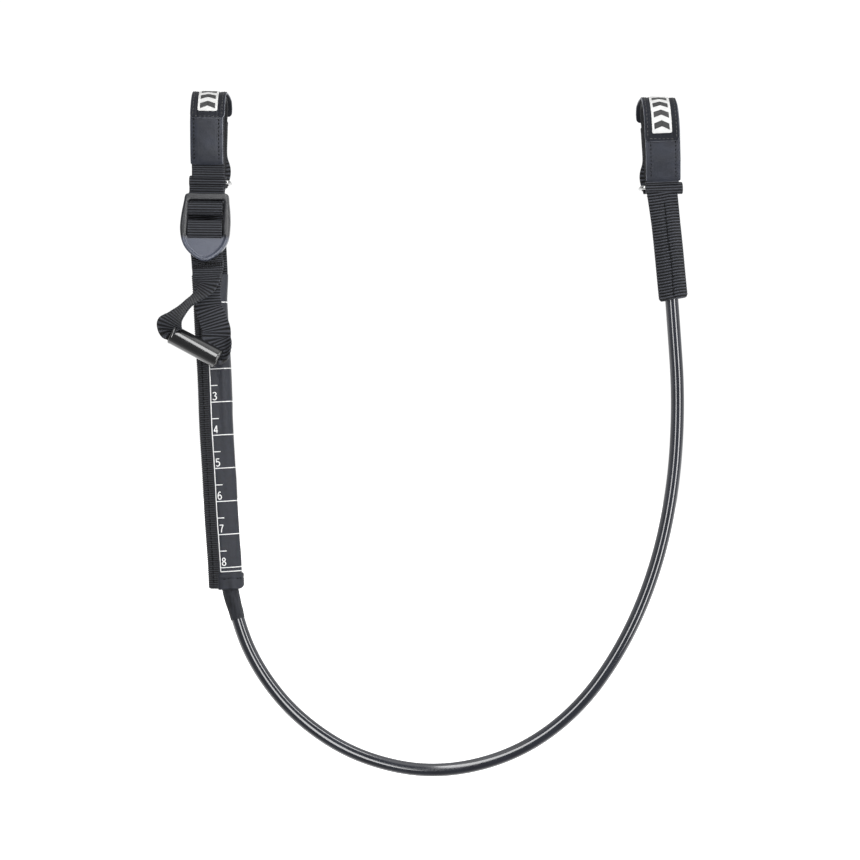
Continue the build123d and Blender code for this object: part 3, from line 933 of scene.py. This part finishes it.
roll = arc(BAR, 3.45, 118, -100, 14)
link_places = np.vstack([[(-7.0, -37.2), (-7.0, -40.5), (-6.95, -43.9), (-8.4, -47.0)], roll,
                         [(-10.0, -53.6), (-6.9, -51.5), (-5.5, -47.0), (-5.4, -37.5)]])
link = webbing_run("link_loop", link_places, -0.9, 20.8, "link_webbing", count=5, flip=-1)
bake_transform(link)

turn_places = np.vstack([[(-10.1, -69.5), (-10.35, -66.5)], arc(GRIP_BAR, 3.4, 165, 12, 12),
                         [(-17.5, -64.6), (-17.3, -67.0), (-16.0, -69.4)]])
turn = webbing_run("buckle_turn", turn_places, -0.9, 20.7, "buckle_webbing", count=6, flip=-1)
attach(turn, "buckle")

rise = webbing_run("adjusting_strap", [(-10.2, -64.5), (-9.6, -69), (-7.8, -80), (-6.0, -90), (-5.3, -96), (-5.2, -112)],
                   1.0, 16.4, "adjusting_webbing", flip=-1)
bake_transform(rise)


# ---------------------------------------------------------------- buckle

def smooth_max(a, b, k):
    h = np.clip(0.5 - 0.5 * (b - a) / k, 0, 1)
    return b + (a - b) * h + k * h * (1 - h)


def smooth_min(a, b, k):
    return -smooth_max(-a, -b, k)


def outline_distance(outline, x, z):
    """Signed distance from a closed outline, negative inside."""
    outline = np.asarray(outline, float)
    best = np.full(x.shape, 1e9)
    within = np.zeros(x.shape, bool)
    for (ax, az), (bx, bz) in zip(outline, np.roll(outline, -1, axis=0)):
        ex, ez = bx - ax, bz - az
        share = np.clip(((x - ax) * ex + (z - az) * ez) / (ex * ex + ez * ez), 0, 1)
        best = np.minimum(best, (x - ax - share * ex) ** 2 + (z - az - share * ez) ** 2)
        crosses = (az > z) != (bz > z)
        slope = ex * (z - az) / np.where(ez == 0, 1e-9, ez) + ax
        within ^= crosses & (x < slope)
    return np.where(within, -1, 1) * np.sqrt(best)


def box_distance(x, z, half_x, low, high, radius):
    """Signed distance from a rectangle with round corners."""
    qx = np.abs(x) - half_x + radius
    qz = np.abs(z - (low + high) / 2) - (high - low) / 2 + radius
    return np.hypot(np.maximum(qx, 0), np.maximum(qz, 0)) + np.minimum(np.maximum(qx, qz), 0) - radius


def buckle_outline():
    side = smooth_line([(11.0, 8.5), (12.8, 7.4), (13.5, 3.0), (14.5, -4.0), (14.9, -12.0), (14.0, -19.0), (11.4, -24.5),
                        (7.0, -29.0), (2.6, -31.6), (0, -32.0)], 5)
    return np.vstack([side, (side * (-1, 1))[::-1]])


def buckle_distance(x, y, z):
    """The ladder lock, from its cross bar's middle: y is depth, with the front negative."""
    flat_z = z[:, 0, :]
    flat_x = x[:, 0, :] - 0.045 * np.maximum(flat_z + 12, 0)
    outer = outline_distance(buckle_outline(), flat_x, flat_z)[:, None, :]
    window = box_distance(flat_x, flat_z, 10.7, -17.2, 4.6, 1.4)[:, None, :]
    rim = np.clip((outer + 2.6) / 1.1, 0, 1)
    rim = rim * rim * (3 - 2 * rim)
    in_nose = np.clip((-15.6 - z) / 2.4, 0, 1)
    in_nose = in_nose * in_nose * (3 - 2 * in_nose)
    crown = 0.35 * np.cos(np.clip(z / 22, -1, 1) * math.pi / 2)
    flare = 0.16 * np.clip(-16 - z, 0, 14)
    front = -3.75 - crown + in_nose * (1 - rim) * 0.95 + in_nose * 0.35 - flare
    back = 3.2 - 4.3 * in_nose * (1 - rim)
    plate = np.maximum(front - y, y - back)
    body = smooth_max(smooth_max(outer, -window, 0.8), plate, 1.3)
    cross_bar = np.maximum(np.hypot(y, z) - 2.6, np.abs(x) - 11.4)
    grip = np.maximum(box_distance(y, z, 1.7, -14.6, -8.2, 1.0), np.abs(x) - 11.4)
    body = smooth_min(body, cross_bar, 0.8)
    return smooth_min(body, grip, 0.6)


buckle = surface_nets("ladder_buckle", buckle_distance, (-16, -8.0, -33.5), (16, 4.5, 10), 0.3, BUCKLE)
buckle.data.transform(Matrix.Translation(CROSS_BAR * MM))
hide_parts("buckle")
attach(buckle, "buckle")


# ---------------------------------------------------------------- pull tail and handle

def twisted(name, stations, width, curl, rib, material=WEBBING, thick=WEB, **shape):
    """Webbing through stations of a centre, the way across it, its curl and its width share."""
    rows = smooth_line(np.column_stack([stations, curl, width]), 14)
    centres, across = rows[:, :3], unit(rows[:, 3:6])
    tangent = unit(np.gradient(centres, axis=0))
    normals = unit(np.cross(across, tangent))
    return ribbon(name, centres, normals, rows[:, 7], thick, material, rib=rib, curl=rows[:, 6], **shape)


front_stations = [
    (-0.7, -13.9, -66.5, 18.6, 0, 0), (-0.6, -13.9, -74.0, 18.6, 0, 0.4), (0.4, -14.1, -81.0, 18.4, 0, 0.9),
    (1.3, -17.1, -86.2, 18.2, 0, 2.2), (1.2, -19.5, -91.0, 18.0, -2.4, 3.4), (0.3, -21.8, -97.5, 16.5, -7.5, 3.4),
    (-3.9, -21.8, -104.2, 9.5, -16.4, -1.0), (-9.4, -21.6, -109.1, 5.4, -18.0, -3.8),
    (-13.6, -21.5, -113.6, 5.6, -17.4, -5.6), (-17.0, -21.6, -117.2, 8.6, -16.0, -6.6),
    (-19.8, -21.8, -121.4, 16.8, -9.6, -1.6), (-20.4, -21.4, -124.9, 12.8, -12.0, 4.0),
    (-19.4, -20.6, -127.3, 7.5, -12.0, 13.0), (-15.4, -20.3, -129.2, 6.0, -12.0, 12.0),
]
front_curl = [0, 0, 0, 0.05, 0.1, 0.15, 0.2, 0.2, 0.2, 0.2, 0.5, 2.2, 5.0, 5.8]
front_width = [18.6, 18.6, 18.8, 19.2, 18.4, 17.8, 19.0, 19.6, 19.6, 19.6, 19.4, 18.0, 16.5, 16.0]
tail_front = twisted("tail_front", front_stations, front_width, front_curl, TIGHT_RIB)
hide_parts("tail_lead", "tail_front_limb", "tail_in_handle")
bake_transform(tail_front)

back_stations = [
    (1.2, -15.8, -85.5, 18.4, 0, 2.0), (1.2, -16.1, -90.0, 18.0, 0.6, 1.6), (1.2, -16.5, -100.0, 16.4, 1.0, 1.4),
    (2.0, -17.2, -109.9, 17.4, 3.4, 0.6), (4.3, -17.4, -116.4, 18.4, 3.0, -1.6), (6.8, -17.5, -124.0, 18.6, 2.0, -1.0),
    (7.0, -17.1, -129.4, 17.0, 0.0, -0.4), (8.6, -17.6, -133.6, 14.0, 0.0, -2.4), (9.9, -18.8, -137.4, 11.0, 0.0, -6.0),
    (10.3, -20.1, -140.7, 6.0, 0.0, -12.0), (8.0, -20.3, -141.2, -6.0, 0.0, -12.0), (4.0, -20.3, -139.2, -6.0, 0.0, -12.0),
]
back_curl = [0, 0, -0.3, -0.4, -0.3, 0.2, 0.6, 1.6, 3.2, 4.8, 5.6, 5.8]
back_width = [19.0, 17.4, 15.6, 16.4, 16.8, 17.2, 17.6, 17.6, 17.2, 16.6, 16.0, 16.0]
tail_back = twisted("tail_back", back_stations, back_width, back_curl, RIB)
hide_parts("tail_back_limb")
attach(tail_back, "pull_tail")

HANDLE_A = np.array([-19.2, -21.1, -127.1])
HANDLE_B = np.array([8.9, -21.1, -141.8])


def handle():
    """A tube turned from a profile of radius against length, with rolled rims."""
    ahead = unit(HANDLE_B - HANDLE_A)
    side = np.array([0.0, -1.0, 0.0])
    up = np.cross(side, ahead)
    length = float(np.linalg.norm(HANDLE_B - HANDLE_A))
    rim = [(0.9, 4.45), (0.25, 4.6), (0.0, 4.95), (0.05, 5.5), (0.4, 5.86), (1.0, 5.94), (1.5, 5.82)]
    outer = [(1.9, 5.78), (length / 2, 5.8), (length - 1.9, 5.78)]
    other = [(length - s, r) for s, r in rim[::-1]]
    inner = [(length - 3, 4.42), (length / 2, 4.4), (3, 4.42)]
    profile = smooth_line(rim + outer + other + inner + rim[:1], 5)[:-1]
    turn = np.linspace(0, 2 * math.pi, 64, endpoint=False)
    circle = np.cos(turn)[:, None] * side + np.sin(turn)[:, None] * up
    rings = HANDLE_A + profile[:, 0, None, None] * ahead + profile[:, 1, None, None] * circle
    n, m = rings.shape[:2]
    i, j = np.meshgrid(np.arange(n), np.arange(m), indexing="ij")
    ni, nj = (i + 1) % n, (j + 1) % m
    faces = np.stack([i * m + j, ni * m + j, ni * m + nj, i * m + nj], axis=-1).reshape(-1, 4).tolist()
    return piece("tube_handle", rings.reshape(-1, 3), faces, HANDLE)


grip = handle()
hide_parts("pull_handle")
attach(grip, "pull_tail")

tack = []
for row in range(3):
    z = -85.3 - 1.2 * row
    y = -17.0 - 0.52 * row - 0.62
    tack.append((np.column_stack([np.linspace(-7.6, 10.0, 20), np.full(20, y), z + np.linspace(0, 1.7, 20)]),
                 np.tile(unit([0.0, -1.0, 0.55]), (20, 1))))
tack = stitches("tail_bar_tack", tack, DARK_THREAD, pitch=1.25, length=1.0, radius=0.26, sink=0.15)
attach(tack, "pull_tail")


# ---------------------------------------------------------------- scale sleeve

SLEEVE_TOP = np.array([0.9, FRONT_BAR[1], -91.2])
SLEEVE_ACROSS = np.array([-SLEEVE_DOWN[2], 0.0, SLEEVE_DOWN[0]])
SLEEVE_BACK = np.array([0.0, 1.0, 0.0])
SLEEVE_LENGTH = 188.4
HEM_START = 179.0


def rounded(points, radius, count=6):
    """An open line with its inner corners rounded."""
    points = [np.array(p, float) for p in points]
    result = [points[0]]
    for before, here, after in zip(points, points[1:], points[2:]):
        a = here + (before - here) * min(0.5, radius / np.linalg.norm(before - here))
        b = here + (after - here) * min(0.5, radius / np.linalg.norm(after - here))
        for t in np.linspace(0, 1, count):
            result.append((1 - t) ** 2 * a + 2 * t * (1 - t) * here + t ** 2 * b)
    result.append(points[-1])
    return np.array(result)


PANEL_LINE = rounded([(-3.4, -9.0), (-2.6, -9.75), (6.0, -10.1), (10.2, -6.0), (10.2, -1.2), (8.0, 1.5), (4.0, 1.5)], 1.9)
WEBBED_LINE = rounded([(6.5, 1.1), (-9.4, 1.3), (-10.2, -2.0), (-2.6, -9.1)], 1.9)


def corner_rise(u):
    """How much higher the sleeve's lower edge is where its corners are rounded."""
    reach = 2.2
    into = np.clip(np.maximum(-8.2 - u, u - 8.5), 0, reach)
    return reach - np.sqrt(reach ** 2 - into ** 2)


def sleeve_grid(line, start, end, step_q, step_w, sag=None):
    """Grid of places and normals on the sleeve: rows run down it and columns round it."""
    section = resample(line, step_q)
    q = lengths_along(section)
    w = np.linspace(start, end, max(2, round((end - start) / step_w) + 1))
    ahead = unit(np.gradient(section, axis=0))
    out = np.column_stack([ahead[:, 1], -ahead[:, 0]])
    u, v = section.T
    flare = 1.5 * np.clip(1 - w / 15, 0, 1)[:, None] * np.clip(u / 9, 0, 1)[None, :]
    drift = 0.22 * np.sin(w / 23.0) + 0.12 * np.sin(w / 9.0 + 1.0)
    push = np.zeros((len(w), len(q))) if sag is None else sag(*np.meshgrid(w, q, indexing="ij"))
    uu = u[None, :] + drift[:, None] + push * out[None, :, 0] + flare
    vv = v[None, :] + push * out[None, :, 1]
    near_end = np.clip((w - SLEEVE_LENGTH + 7) / 6, 0, 1)[:, None]
    down = w[:, None] - near_end * corner_rise(u)[None, :]
    middle = SLEEVE_TOP + uu[..., None] * SLEEVE_ACROSS + vv[..., None] * SLEEVE_BACK + down[..., None] * SLEEVE_DOWN
    normals = np.broadcast_to(out[:, 0, None] * SLEEVE_ACROSS + out[:, 1, None] * SLEEVE_BACK, middle.shape)
    cloth = np.zeros(middle.shape)
    cloth[..., 0] = q[None, :]
    cloth[..., 1] = w[:, None]
    return middle, normals, cloth, q, w


def edge_share(q, size):
    """Thickness share that rounds both edges of a sheet."""
    inset = np.minimum(q, q[-1] - q)
    return np.sqrt(np.clip(1 - (1 - np.clip(inset / size, 0, 1)) ** 2, 0.04, 1))


def wrinkle(w, q):
    """How far the printed panel stands in or out over the tube and webbing inside it."""
    long_fold = 0.36 * np.sin(q * 0.62 + 0.6 * np.sin(w / 31.0))
    cross = 0.10 * np.sin(w / 3.7 + 0.8 * np.sin(q / 3.0)) * np.exp(-((w - 40 * np.round(w / 40)) / 9.0) ** 2)
    return long_fold + cross - 0.15


middle, normals, cloth, q, w = sleeve_grid(PANEL_LINE, 0, HEM_START + 1.2, 0.35, 0.7, wrinkle)
half = 0.45 * edge_share(q, 0.9)[None, :] * np.ones((len(w), 1))
panel = slab("scale_panel_cloth", middle, normals, half, half, PANEL, cloth)
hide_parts("scale_panel")
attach(panel, "line")

middle, normals, cloth, q, w = sleeve_grid(WEBBED_LINE, -0.4, SLEEVE_LENGTH - 0.6, 0.5, 0.22)
wave = (0.5 + 0.5 * np.cos(2 * math.pi * (w + 0.12 * np.sin(w / 9.0)) / 1.32)) ** 0.9
share = edge_share(q, 0.8)
height = 0.6 * share[None, :] + 0.36 * (wave[:, None] - 1) * np.clip(np.minimum(q, q[-1] - q) / 0.9, 0.2, 1)[None, :]
height = height - 0.4 * np.exp(-((q - q[-1] + 5.2) / 0.55) ** 2)[None, :]
# The rib wave goes in as the ridge weight: painted highlight on rib tops, painted shade between them.
webbed = slab("sleeve_side_webbing", middle, normals, height, 0.55 * share[None, :] * np.ones((len(w), 1)), WEBBING, cloth,
              wave[:, None] * np.ones((1, len(q))))
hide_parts("sleeve_webbing")
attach(webbed, "line")

hem_line = rounded([(-3.9, -8.9), (-2.8, -10.0), (6.2, -10.4), (10.6, -6.1), (10.6, -1.1), (8.2, 1.9), (3.6, 1.9)], 1.9)
middle, normals, cloth, q, w = sleeve_grid(hem_line, HEM_START, SLEEVE_LENGTH, 0.35, 0.3)
ends = np.minimum(w - w[0], w[-1] - w)
end_share = np.sqrt(np.clip(1 - (1 - np.clip(ends / 0.9, 0, 1)) ** 2, 0.04, 1))
channel = 0.22 * np.exp(-((w - HEM_START - 3.0) / 0.5) ** 2)
height = 0.6 * np.outer(end_share, edge_share(q, 0.8)) - channel[:, None] * edge_share(q, 1.5)[None, :]
hem = slab("sleeve_end_hem", middle, normals, height, 0.5 * np.outer(end_share, edge_share(q, 0.8)), PANEL, cloth)
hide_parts("sleeve_hem")
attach(hem, "line")


def panel_point(u_from_line, w, lift):
    """A place on the printed panel, this far right of the scale's long line, with its normal."""
    section = resample(PANEL_LINE, 0.05)
    along = lengths_along(section)
    q = np.clip(1.75 + np.asarray(u_from_line, float), 0, along[-1])
    w = np.broadcast_to(np.asarray(w, float), q.shape)
    ahead = unit(np.gradient(section, axis=0))
    u = np.interp(q, along, section[:, 0])
    v = np.interp(q, along, section[:, 1])
    out = np.column_stack([np.interp(q, along, ahead[:, 1]), -np.interp(q, along, ahead[:, 0])])
    drift = 0.22 * np.sin(w / 23.0) + 0.12 * np.sin(w / 9.0 + 1.0)
    push = wrinkle(w, q) + lift
    u = u + drift + push * out[:, 0]
    v = v + push * out[:, 1]
    place = SLEEVE_TOP + u[:, None] * SLEEVE_ACROSS + v[:, None] * SLEEVE_BACK + w[:, None] * SLEEVE_DOWN
    return place, out[:, :1] * SLEEVE_ACROSS + out[:, 1:] * SLEEVE_BACK


def ink(name, strokes, width, lift=0.46, depth=0.09):
    """Printed lines on the panel as thin raised ink; a stroke is points right of the long line and down the sleeve."""
    points, faces = [], []
    for stroke in strokes:
        line = resample(np.array(stroke, float), 0.3)
        ahead = unit(np.gradient(line, axis=0))
        side = np.column_stack([-ahead[:, 1], ahead[:, 0]]) * width / 2
        base = len(points)
        grid = []
        for offset in (side, -side):
            place, normal = panel_point(line[:, 0] + offset[:, 0], line[:, 1] + offset[:, 1], lift)
            grid.append((place + normal * depth, place - normal * 0.2))
        (top_a, low_a), (top_b, low_b) = grid
        rows = np.stack([top_a, top_b, low_b, low_a], axis=1)
        points.extend(rows.reshape(-1, 3).tolist())
        n = len(line)
        for r in range(n - 1):
            for k in range(4):
                m = (k + 1) % 4
                faces.append([base + r * 4 + k, base + r * 4 + m, base + (r + 1) * 4 + m, base + (r + 1) * 4 + k])
        faces.append([base + k for k in (3, 2, 1, 0)])
        faces.append([base + (n - 1) * 4 + k for k in range(4)])
    return piece(name, points, faces, INK)


DIGITS = {
    "2": [[(0.1, 3.7), (0.5, 4.4), (1.3, 4.7), (2.1, 4.4), (2.5, 3.6), (2.1, 2.6), (0.1, 0.1)], [(0.1, 0.1), (2.6, 0.1)]],
    "3": [[(0.2, 4.2), (1.2, 4.7), (2.2, 4.3), (2.3, 3.3), (1.3, 2.5)],
          [(1.3, 2.5), (2.4, 1.9), (2.5, 0.8), (1.4, 0.0), (0.1, 0.5)]],
    "4": [[(2.0, 0.0), (2.0, 4.7)], [(2.0, 4.7), (0.0, 1.3)], [(0.0, 1.3), (2.7, 1.3)]],
    "5": [[(2.4, 4.6), (0.4, 4.6)], [(0.4, 4.6), (0.3, 2.5)], [(0.3, 2.5), (1.4, 2.9), (2.5, 1.9), (2.2, 0.5), (1.0, 0.0), (0.1, 0.5)]],
    "6": [[(2.2, 4.3), (1.3, 4.6), (0.4, 3.4), (0.1, 1.6), (0.6, 0.3), (1.4, 0.0), (2.3, 0.5), (2.5, 1.5), (1.9, 2.6),
           (1.0, 2.6), (0.2, 1.7)]],
    "7": [[(0.0, 4.6), (2.6, 4.6)], [(2.6, 4.6), (1.4, 2.2), (1.0, 0.0)]],
    "8": [[(1.3, 2.5), (0.4, 3.2), (0.4, 4.1), (1.3, 4.7), (2.2, 4.1), (2.2, 3.2), (1.3, 2.5), (0.2, 1.7), (0.2, 0.6),
           (1.3, 0.0), (2.4, 0.6), (2.4, 1.7), (1.3, 2.5)]],
}
UNIT = 19.8
FIRST_MARK = 16.8
PANEL_REACH = lengths_along(PANEL_LINE)[-1] - 2.2


def scale_print():
    thin, digits = [], []
    last = FIRST_MARK + 8 * UNIT + 2.4
    thin.append([(0.0, 3.0), (0.0, last)])
    for n in range(9):
        w = FIRST_MARK + UNIT * n
        thin.append([(0.0, w), (PANEL_REACH, w)])
        if n < 8:
            thin.append([(0.0, w + UNIT / 2), (4.2, w + UNIT / 2)])
    thin.append([(0.0, last), (PANEL_REACH, last)])
    for digit in DIGITS:
        base = FIRST_MARK + UNIT * int(digit) - 1.3
        for stroke in DIGITS[digit]:
            curve = smooth_line(stroke, 6) if len(stroke) > 2 else stroke
            digits.append([(1.1 + 0.84 * x, base - 0.95 * y) for x, y in curve])
    lines = ink("scale_lines", thin, 0.5)
    numbers = ink("scale_numbers", digits, 0.54)
    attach(lines, "line")
    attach(numbers, "line")


scale_print()

runs = []
w_line = np.linspace(2, SLEEVE_LENGTH - 3, 400)
edge_at = np.array([-6.4, -5.4])
place = SLEEVE_TOP + edge_at[0] * SLEEVE_ACROSS + edge_at[1] * SLEEVE_BACK + w_line[:, None] * SLEEVE_DOWN
slope_out = unit(-0.716 * SLEEVE_ACROSS - 0.698 * SLEEVE_BACK)
runs.append((place + slope_out * 0.42, np.tile(slope_out, (400, 1))))
q_line = np.linspace(0.4, 20, 80)
place, out = panel_point(q_line, HEM_START + 3.0, 0.75)
runs.append((place, out))
sleeve_sewing = stitches("sleeve_stitches", runs, DARK_THREAD, pitch=2.6, length=1.9, radius=0.24)
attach(sleeve_sewing, "line")


# ---------------------------------------------------------------- cover over the tube's end

def nurbs_places(count):
    """The tube's centre line: a uniform quadratic spline through its control points, held at both ends."""
    control = np.array(TUBE_ROUTE) / MM
    n = len(control)
    knots = np.concatenate([[0, 0, 0], np.arange(1, n - 2), [n - 2] * 3]).astype(float)
    result = []
    for t in np.linspace(0, n - 2 - 1e-9, count):
        k = int(np.searchsorted(knots, t, side="right")) - 1
        points = [control[j + k - 2].copy() for j in range(3)]
        for r in (1, 2):
            for j in range(2, r - 1, -1):
                span = knots[j + 1 + k - r] - knots[j + k - 2]
                share = (t - knots[j + k - 2]) / span if span else 0
                points[j] = (1 - share) * points[j - 1] + share * points[j]
        result.append(points[2])
    return np.array(result)


ROUTE = nurbs_places(900)


def cover():
    line = ROUTE[(ROUTE[:, 0] < 80) & (ROUTE[:, 2] > -297)]
    line = resample(line, 0.35)
    ahead = unit(np.gradient(line, axis=0))
    side = unit(np.cross(ahead, (0, 1, 0)))
    up = np.cross(side, ahead)
    turn = np.linspace(0, 2 * math.pi, 60, endpoint=False)
    s = lengths_along(line)[:, None]
    fold = 0.20 * np.sin(3 * turn + s / 5.0) + 0.16 * np.sin(5 * turn - s / 2.9 + 1.0)
    fold = fold + 0.20 * np.sin(s / 1.5 + 1.4 * np.cos(turn + s / 11.0)) * np.exp(-(s / 9.0) ** 2)
    loose = np.clip(s / 6, 0, 1) * 0.5 + 0.5
    radius = 4.2 + 0.7 * np.clip(s / 16, 0, 1) + 0.5 * fold * loose
    rings = line[:, None] + radius[..., None] * (np.cos(turn)[None, :, None] * side[:, None] + np.sin(turn)[None, :, None] * up[:, None])
    made = loft("tube_end_sock", rings, COVER)
    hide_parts("tube_end_cover")
    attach(made, "line")


cover()


# ---------------------------------------------------------------- right sleeve

RIGHT_TOP = np.array([272.2, FRONT_BAR[1], FRONT_BAR[2]])
RIGHT_TILT = math.radians(7.1)
RIGHT_DOWN = np.array([math.sin(RIGHT_TILT), 0.0, -math.cos(RIGHT_TILT)])
RIGHT_ACROSS = np.array([math.cos(RIGHT_TILT), 0.0, math.sin(RIGHT_TILT)])
RIGHT_HALF = 8.6


def right_bulge(w):
    """Depth of the sleeve's front at its middle: flat where it is sewn shut, full over the tube."""
    share = np.clip((w - 6) / 20, 0, 1)
    return 1.7 + 3.5 * share * share * (3 - 2 * share)


def right_layer(name, node, face):
    u = np.linspace(-RIGHT_HALF, RIGHT_HALF, 46)
    w = np.linspace(1.6, 67.4, 300)
    ww, uu = np.meshgrid(w, u, indexing="ij")
    into = np.clip(2.0 - (67.4 - ww), 0, 2.0)
    rounding = (2.0 - np.sqrt(4.0 - into ** 2)) / RIGHT_HALF
    wide = 1 + 0.07 * np.clip(1 - ww / 22, 0, 1) - rounding
    seam = 1.9
    inside = np.clip((RIGHT_HALF - np.abs(uu)) / (RIGHT_HALF - seam), 0, 1)
    depth = 0.75 + (right_bulge(ww) - 0.75) * np.sin(np.clip(1.08 * inside, 0, 1) * math.pi / 2) ** 1.15
    depth = depth + 0.12 * np.sin(ww / 7.0 + uu / 4.0)
    slant = 0.06 * uu * np.clip(ww / 67.4, 0, 1)
    sway = 0.25 * np.sin(ww / 15.0)
    middle = (RIGHT_TOP + (uu * wide + sway)[..., None] * RIGHT_ACROSS + (face * depth)[..., None] * SLEEVE_BACK
              + (ww - slant)[..., None] * RIGHT_DOWN)
    along_w, along_u = np.gradient(middle, axis=0), np.gradient(middle, axis=1)
    normals = unit(np.cross(along_w, along_u)) * (1 if face < 0 else -1)
    normals = normals * np.where((normals[..., 1] * face).mean() > 0, 1, -1)
    wave = (0.5 + 0.5 * np.cos(2 * math.pi * (ww + 0.25 * np.sin(uu / 3.0)) / 1.77)) ** 0.9
    inset = np.minimum(uu[0] + RIGHT_HALF, RIGHT_HALF - uu[0])
    share = np.sqrt(np.clip(1 - (1 - np.clip(inset / 0.8, 0, 1)) ** 2, 0.04, 1))
    groove = 0.5 * np.exp(-((uu - 0.25 * np.sin(ww / 6.0)) / 0.6) ** 2) * (ww > 8)
    ends = np.clip(np.minimum(ww - 1.6, 67.4 - ww) / 0.8, 0, 1)
    ends = np.sqrt(np.clip(1 - (1 - ends) ** 2, 0.05, 1))
    rib = 0.68 * (wave - 1) * np.clip(inset / 0.9, 0.2, 1)
    up = (0.75 * share + rib - groove) * ends
    down = 0.6 * share * ends
    cloth = np.stack([uu, ww, np.zeros(uu.shape)], axis=-1)
    if face > 0:
        middle, normals, up, down, cloth, wave = (v[:, ::-1] for v in (middle, normals, up, down, cloth, wave))
    # The rib wave goes in as the ridge weight: painted highlight on rib tops, painted shade between them.
    made = slab(name, middle, normals, up, down, WEBBING, cloth, wave)
    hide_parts(node)
    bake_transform(made)
    return made


right_layer("right_front_layer", "right_sleeve_front", -1)
right_layer("right_back_layer", "right_sleeve_back", 1)

w_line = np.linspace(9, 65.5, 200)
middle_line = RIGHT_TOP + (0.25 * np.sin(w_line / 6.0) + 0.25 * np.sin(w_line / 15.0))[:, None] * RIGHT_ACROSS \
    - (right_bulge(w_line) + 0.55)[:, None] * SLEEVE_BACK + w_line[:, None] * RIGHT_DOWN
runs = [(middle_line, np.tile((0.0, -1.0, 0.0), (200, 1)))]
for x in (-7.5, 7.5):
    line = RIGHT_TOP + (x + 0.25 * np.sin(w_line / 15.0))[:, None] * RIGHT_ACROSS - 1.55 * SLEEVE_BACK \
        + w_line[:, None] * RIGHT_DOWN
    runs.append((line, np.tile((0.0, -1.0, 0.0), (200, 1))))
right_sewing = stitches("right_sleeve_stitches", runs, DARK_THREAD, pitch=2.7, length=2.0, radius=0.26)
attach(right_sewing, "line")

tongue_line = RIGHT_TOP + np.linspace(6.5, 44, 60)[:, None] * RIGHT_DOWN
tongue = ribbon("anchor_tongue", tongue_line, np.tile((0.0, -1.0, 0.0), (60, 1)), 10.0, 1.5, WEBBING, rib=RIB, corner=1.0)
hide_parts("right_anchor_webbing")
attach(tongue, "line")


# ---------------------------------------------------------------- floor and light

def area_light(name, place, target, size, power):
    data = bpy.data.lights.new(name, "AREA")
    data.shape = "RECTANGLE"
    data.size, data.size_y = size
    data.energy = power
    obj = bpy.data.objects.new(name, data)
    bpy.context.scene.collection.objects.link(obj)
    obj.location = place
    obj.rotation_mode = "QUATERNION"
    obj.rotation_quaternion = (Vector(target) - Vector(place)).to_track_quat("-Z", "Y")
    obj.visible_camera = False


def floor():
    mesh = bpy.data.meshes.new("floor")
    mesh.from_pydata([(-8, 0, 0), (8, 0, 0), (8, 8, 0), (-8, 8, 0)], [], [(0, 1, 2, 3)])
    obj = bpy.data.objects.new("floor", mesh)
    obj.location = (0.13, 0, cad_box[0].z - 0.06)
    bpy.context.scene.collection.objects.link(obj)
    n = Nodes("floor")
    cloud = n.noise(n.add("TexCoord").outputs["Object"], 1.5, 2.0)
    n.set(Base_Color=n.ramp(cloud, [(0.2, grey(0.93)), (0.8, grey(0.96))]), Roughness=0.9)
    n.set(Emission_Color=(1, 1, 1, 1), Emission_Strength=0.8)
    mesh.materials.append(n.material)


def world():
    made = bpy.data.worlds.new("studio")
    made.use_nodes = True
    tree = made.node_tree
    background = tree.nodes["Background"]
    spot = tree.nodes.new("ShaderNodeTexCoord")
    split = tree.nodes.new("ShaderNodeSeparateXYZ")
    ramp = tree.nodes.new("ShaderNodeValToRGB")
    shift = tree.nodes.new("ShaderNodeMapRange")
    shift.inputs["From Min"].default_value = -1
    seen = tree.nodes.new("ShaderNodeLightPath")
    pick = tree.nodes.new("ShaderNodeMix")
    pick.data_type = "RGBA"
    tree.links.new(spot.outputs["Generated"], split.inputs[0])
    tree.links.new(split.outputs["Y"], shift.inputs["Value"])
    tree.links.new(shift.outputs["Result"], ramp.inputs["Fac"])
    stops = [(0.0, 0.20), (0.2, 0.24), (0.36, 0.50), (0.5, 0.9), (0.7, 0.9), (1.0, 1.1)]
    while len(ramp.color_ramp.elements) < len(stops):
        ramp.color_ramp.elements.new(0.5)
    for element, (place, tone) in zip(ramp.color_ramp.elements, stops):
        element.position = place
        element.color = (*grey(tone), 1)
    tree.links.new(seen.outputs["Is Camera Ray"], pick.inputs["Factor"])
    tree.links.new(ramp.outputs["Color"], pick.inputs[6])
    pick.inputs[7].default_value = (1.05, 1.05, 1.05, 1)
    tree.links.new(pick.outputs[2], background.inputs["Color"])
    bpy.context.scene.world = made


floor()
world()
area_light("left_strip", (0.07, -0.40, 0.25), (0.07, 0, 0.25), (0.13, 1.5), 5.0)
area_light("right_strip", (0.60, -0.38, 0.25), (0.20, 0, 0.25), (0.15, 1.5), 7.0)
area_light("top_softbox", (0.13, -0.5, 1.4), (0.13, 0, -0.15), (2.0, 1.4), 7)
bpy.context.scene.view_settings.view_transform = "Standard"


# ---------------------------------------------------------------- size

def corners(box):
    return [[round(value, 6) for value in corner] for corner in box]
